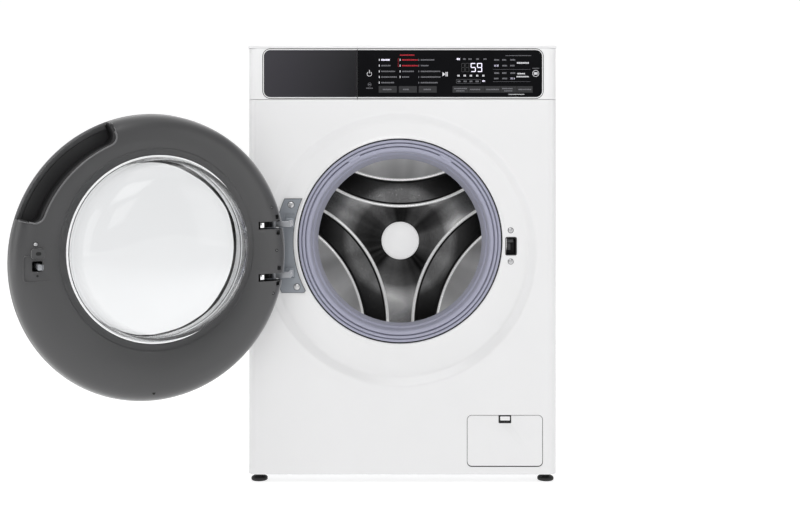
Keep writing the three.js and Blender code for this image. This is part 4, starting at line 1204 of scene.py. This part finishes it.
def fitBead(name, points, radius, material):
    obj = fit(bead(name, points, radius), "door", material, smooth=60)
    turnMesh(obj, openDoor)
    return obj


def gripRidgeHighlight():
    r0, start, end = door["grip"]
    line = []
    r0 -= 1.2
    turn = math.degrees(16 / r0)
    for r, a in [(254, start - 0.4), (250, start - 0.3), (244, start - 0.2), (237, start)]:
        line.append((r, a))
    for i in range(9):
        t = i / 8 * math.pi / 2
        line.append((r0 + 16 * (1 - math.sin(t)), start + turn * (1 - math.cos(t))))
    line += [(r0, start + turn + (end - start - 2 * turn) * i / 30) for i in range(1, 30)]
    mirror = [(r, start + end - a) for r, a in reversed(line[:13])]
    line += mirror
    points = []
    for r, a in line:
        depth = 2.4 if r < 229 else 2.2 - 9.2 * ((r - 229) / 20) ** 1.7
        points.append(at(portX + r * math.cos(math.radians(a)), depth,
                         recessZ + r * math.sin(math.radians(a))))
    return points


# painted highlight: the ridge round the grip as a lighter grey line
fitBead("gripRidgeHighlight", gripRidgeHighlight(), 1.5, rimGreyPaintedHighlight)
outline = [(221, 468), (231, 468), (234, 465), (234, 428), (231, 425), (190, 425)]
fitBead("hookOutline", [at(x, 3.2, z) for x, z in outline], 0.8, coverGrey)


def doorRim(bm):
    lathe(bm, [(172.4, -52), (228, -52), (236, -50.8), (243, -49), (248, -46.2), (252, -43), (255, -38.6),
               (256.6, -34),
               (257, -31), (256.6, -29.8), (255, -29.5), (253.5, -29.5), (249, -40), (241, -45.5), (227, -48),
               (172.4, -48)], z=recessZ, steps=160, closed=True)


# the rim's lighter grey is painted highlight on the door's dark plastic
rim = piece("doorRim", doorRim, "door", rimGreyPaintedHighlight, ["door_frame"], smooth=40)
carve(rim, [cutter(lambda bm: box(bm, -275, -207, -45, 12, z - 7.6, z + 7.6)) for z in door["slots"]])
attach(rim, "door")
turnMesh(rim, openDoor)

piece("doorWindow", lambda bm: lathe(
    bm, [(0, -57), (60, -56.5), (110, -55.2), (150, -53.4), (171.5, -52.3), (171.9, -50.6), (171.5, -49),
         (150, -50.2),
         (110, -52), (60, -53.2), (0, -53.6)], z=recessZ, steps=96),
    "door", clearGlass, ["door_window"], smooth=50, after=openDoor)
piece("doorBowl", lambda bm: lathe(
    bm, [(0, 81), (30, 80.8), (58, 80), (84, 78.2), (104, 75), (119, 70.4), (130, 64), (140, 54), (147, 42),
         (152, 30),
         (155, 18), (157, 6), (158, -6), (158.4, -20), (160, -27.6), (164, -31.2), (168, -32), (172.4, -32),
         (173, -29.6), (172.4, -27), (168, -27), (164.6, -25.4), (163.2, -21), (163, -2), (161.8, 10), (160,
             20),
         (157, 33), (152, 45), (145, 58), (135, 68), (123, 75.4), (108, 80), (86, 83.2), (60, 85), (30, 85.8),
         (0, 86)],
    steps=128), "door", clearGlass, ["door_glass"], smooth=60, after=openDoor)


def glassRing(bm):
    # the white band where the bowl meets its seat, made brighter with a painted glow
    lathe(bm, [(163.4, -24), (166.9, -24), (166.9, 1.6), (166.2, 2.4), (164.2, 2.4), (163.4, 1.6)], steps=160,
          closed=True)


piece("glassBand", glassRing, "door", frostedEdgeGlow, smooth=50, after=openDoor)


# painted shadow: a black line just inside the white band
piece("bandShadowLine", lambda bm: lathe(bm, [(161, -3), (162.6, -3), (162.6, 1), (161, 1)], steps=160,
                                   closed=True),
      "door", paintedShadowBlack, smooth=40, after=openDoor)


def bowlLine(bm):
    lathe(bm, [(158.3, -31.6), (163, -31.6), (163, -33.4), (158.3, -33.4)], steps=160, closed=True)


piece("bowlSeal", bowlLine, "door", blackRubber, smooth=50, after=openDoor)


# painted shade: black sheets lining the slots where the hinge arms enter the door
def slotShadowSheets(bm):
    for z in door["slots"]:
        box(bm, -238.5, -194, -44.6, -43.2, z - 9, z + 9)
        for low in (z - 8.8, z + 7.4):
            box(bm, -242, -194, -44, -1.5, low, low + 1.4)
        box(bm, -195, -193.6, -44, 0.4, z - 7.8, z + 7.8)


piece("slotShadowSheets", slotShadowSheets, "door", paintedShadowBlack, smooth=30, after=openDoor)


def slotSprings(bm):
    for z in door["slots"]:
        box(bm, -211.4, -202, -24, -5, z - 6, z + 6, 1.6)


def hookClaw(bm):
    box(bm, 207.5, 212.5, -14, 30, 445.4, 454.6, 1.0)
    box(bm, 207.5, 217, 25, 30, 445.4, 454.6, 1.0)


piece("doorHook", hookClaw, "hook", armSteel, ["door_hook"], smooth=35, after=openDoor)


# painted shade: black sheets lining the pocket behind the hook's hole
def hookPocketShadow(bm):
    box(bm, 200.6, 221.4, -26, -24.6, 440, 460)
    for x in (200.6, 220.4):
        box(bm, x, x + 1, -25, -0.6, 440, 460)
    for z in (439.6, 459.4):
        box(bm, 200.6, 221.4, -25, -0.6, z, z + 1)


piece("hookPocketShadow", hookPocketShadow, "door", paintedShadowBlack, smooth=30, after=openDoor)


def hookBoss(bm):
    roundedPlate(bm, 199, 222, 463, 480, 5, 2.8, 8.4)


boss = piece("hookBoss", hookBoss, "door", coverGrey, smooth=35, after=openDoor)
softenEdges(boss, 1, 3)
# painted shade: a black plate in the hole of the hook's boss
piece("bossHoleShadow", lambda bm: roundedPlate(bm, 206, 215, 468.6, 474.4, 2.6, 7.8, 8.6), "door", paintedShadowBlack,
      smooth=40, after=openDoor)


rimProfile = [(0, 3.4), (222, 3.1), (229, 2.2), (236, 0.2), (242, -2.8), (247.4, -7), (251.6, -12.4)]
coverScrews = [(-223, 539.6, 3), (-232.6, 459, 3), (-226, 379, 3), (211, 434, 2), (6, 216, 2.6)]


def rimDepth(x, z):
    r = math.hypot(x - portX, z - recessZ)
    for (r0, d0), (r1, d1) in zip(rimProfile, rimProfile[1:]):
        if r <= r1:
            return d0 + (d1 - d0) * (r - r0) / (r1 - r0)
    return rimProfile[-1][1]


# painted shade: black discs in the cover's screw holes
def coverHoleShadows(bm):
    for x, z, r in coverScrews:
        disc(bm, x, z, r, rimDepth(x, z) - 1.5, rimDepth(x, z) + 0.5, 20)


def coverScrewHeads(bm):
    for x, z, r in coverScrews[:3]:
        disc(bm, x, z, r * 0.5, rimDepth(x, z) - 1, rimDepth(x, z) + 0.9, 16)


piece("coverHoleShadows", coverHoleShadows, "door", paintedShadowBlack, smooth=40, after=openDoor)
piece("coverScrewHeads", coverScrewHeads, "door", rimGreyPaintedHighlight, smooth=40, after=openDoor)
screw("hookScrew", 214, 487, 3.4, 3.4, "door", after=openDoor, behind=True)
print("door is built")


# Hinge
def hingePlate(bm):
    roundedPlate(bm, -240, -190, 370, 552, 4, 8.7, 11.7)


plate = piece("hingeBracket", hingePlate, "cabinet", hingeSteel, ["hinge_bracket"], smooth=30)
carve(plate, [cutter(lambda bm: disc(bm, portX, portZ, 208.5, 4, 16, 192))])
carve(plate, [cutter(lambda bm: disc(bm, portX, recessZ, 245, 4, 16, 192))], "INTERSECT")
carve(plate, [cutter(lambda bm: roundedPlate(bm, -230, -209.6, 398, 524, 4, 7, 10.7))])
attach(plate, "cabinet")
softenEdges(plate, 0.9, 3)
weighNormals(plate)
# painted shadow: a black plate just behind the bracket and slightly larger, for the dark line round its edge
edgeShadow = piece("hingeEdgeShadow", lambda bm: roundedPlate(bm, -241, -189, 369, 553, 5, 11, 11.9), "cabinet",
                paintedShadowBlack,
                smooth=30)
carve(edgeShadow, [cutter(lambda bm: disc(bm, portX, portZ, 207.6, 4, 16, 192))])
carve(edgeShadow, [cutter(lambda bm: disc(bm, portX, recessZ, 246, 4, 16, 192))], "INTERSECT")
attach(edgeShadow, "cabinet")


def hingeArms(bm):
    for z in door["slots"]:
        box(bm, -246, -213, -42, -36, z - 5.5, z + 5.5, 1.0)
        made = bmesh.ops.create_cone(bm, cap_ends=True, segments=40, radius1=0.0052, radius2=0.0052,
                                     depth=0.011)
        bmesh.ops.translate(bm, verts=made["verts"], vec=at(-246, -39, z))


def hingeLegs(bm):
    for z in door["slots"]:
        box(bm, -218.8, -212.8, -41.6, 9, z - 5.3, z + 5.3, 0.8)


def hingeRoots(bm):
    for z in door["slots"]:
        box(bm, -227, -211, 7.6, 10.7, z - 9, z + 9, 1.2)


piece("hingeArms", hingeArms, "cabinet", armSteel, smooth=40)
# painted highlight: the bends of the arms in the lighter steel
piece("hingeLegs", hingeLegs, "cabinet", bendSteelPaintedHighlight, smooth=40)
piece("hingeRoots", hingeRoots, "cabinet", hingeSteel, smooth=40)
piece("slotSprings", slotSprings, "door", brightSteel, smooth=40, after=openDoor)
screw("hingeScrewUpper", -217, 541, 8.7, 6, "cabinet")
screw("hingeScrewLower", -205.5, 381, 8.7, 6, "cabinet")
print("hinge is built")


# Back
def serviceCover(bm):
    roundedPlate(bm, -175, 165, 190, 640, 14, 463.3, 466)


coverPlate = piece("serviceCover", serviceCover, "cabinet", zinc, smooth=35)
carve(coverPlate, [cutter(lambda bm: [roundedPlate(bm, -60 + 0, 60, 250 + 22 * i, 256 + 22 * i, 2.9, 460, 470,
                                                   5)
                                      for i in range(8)])])
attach(coverPlate, "cabinet")
softenEdges(coverPlate, 0.8, 3)
for i, (x, z) in enumerate([(-165, 200), (155, 200), (-165, 630), (155, 630), (-165, 415), (155, 415)]):
    screw(f"coverScrew{i + 1}", x, z, 466, 4.4, "cabinet", behind=True)
for i, (x, z) in enumerate([(-230, 560), (215, 560), (-230, 180), (215, 180)]):
    piece(f"transitCap{i + 1}", lambda bm: lathe(bm, [(0, 463.2), (17, 463.2), (17, 465), (15.4, 466.2), (8,
        466.6),
                                                      (7, 464.8), (0, 464.8)], x, z, 48),
          "cabinet", greyPlastic, smooth=40)
print("back is built")

# Studio
studio = {"lens": 53.7, "stand": 2315, "eyeHeight": 630, "shift": (-0.0031, -0.1331),
          "sweepReach": 14, "coveStart": 4, "coveRadius": 3, "coveSteps": 24}
cameraData = bpy.data.cameras.new("camera")
cameraData.lens = studio["lens"]
cameraData.sensor_width = 36
cameraData.shift_x, cameraData.shift_y = studio["shift"]
cameraData.clip_end = 50
camera = bpy.data.objects.new("camera", cameraData)
scene.collection.objects.link(camera)
camera.location = at(0, -studio["stand"], studio["eyeHeight"])
camera.rotation_euler = (math.pi / 2, 0, 0)
scene.camera = camera

# the floor runs up into the backdrop in one curve
reach, coveRadius, coveSteps = studio["sweepReach"], studio["coveRadius"], studio["coveSteps"]
sweepFloor = floorZ - 0.0002
sweepMesh = bmesh.new()
corner = [sweepMesh.verts.new((-reach, studio["coveStart"] + coveRadius * math.sin(a),
                               sweepFloor + coveRadius * (1 - math.cos(a))))
          for a in (math.pi / 2 * i / coveSteps for i in range(coveSteps + 1))]
for a, b in zip(corner, corner[1:]):
    sweepMesh.edges.new((a, b))
near = sweepMesh.verts.new((-reach, -reach, sweepFloor))
high = sweepMesh.verts.new((-reach, studio["coveStart"] + coveRadius, reach))
sweepMesh.edges.new((near, corner[0]))
sweepMesh.edges.new((corner[-1], high))
made = bmesh.ops.extrude_edge_only(sweepMesh, edges=sweepMesh.edges[:])["geom"]
bmesh.ops.translate(sweepMesh, verts=[v for v in made if isinstance(v, bmesh.types.BMVert)],
                    vec=(2 * reach, 0, 0))
bmesh.ops.recalc_face_normals(sweepMesh, faces=sweepMesh.faces)
sweep = meshObject("sweep", sweepMesh)
sweep.data.materials.append(floorPale)
smoothBy(sweep, 40)


def softLight(name, where, target, size, power, colour=(1, 1, 1)):
    data = bpy.data.lights.new(name, "AREA")
    data.shape = "RECTANGLE"
    data.size, data.size_y = size
    data.energy = power
    data.color = colour
    lamp = bpy.data.objects.new(name, data)
    scene.collection.objects.link(lamp)
    lamp.location = where
    lamp.rotation_euler = (Vector(target) - Vector(where)).to_track_quat("-Z", "Y").to_euler()
    lamp.visible_camera = False


softLight("front", (0.1, -3.3, 1.75), (0, 0, 0.4), (1.7, 1.1), 12)
softLight("above", (-0.5, -2.0, 3.0), (0, 0, 0.3), (2.2, 1.4), 32)
softLight("leftFill", (-3.2, -1.6, 1.3), (0, 0, 0.4), (1.4, 2.4), 15)
softLight("rightFill", (3.0, -1.8, 1.4), (0, 0, 0.4), (1.4, 2.4), 12)
softLight("overhead", (0, 0.6, 3.2), (0, 0, 0), (3, 3), 14)
softLight("backFill", (0.4, 3.4, 1.8), (0, 0, 0.4), (2.4, 1.8), 22)
world = bpy.data.worlds.new("studio")
world.use_nodes = True
world.node_tree.nodes["Background"].inputs["Color"].default_value = (1, 1, 1, 1)
world.node_tree.nodes["Background"].inputs["Strength"].default_value = 0.28
scene.world = world
scene.view_settings.view_transform = "Standard"
print("studio is ready")
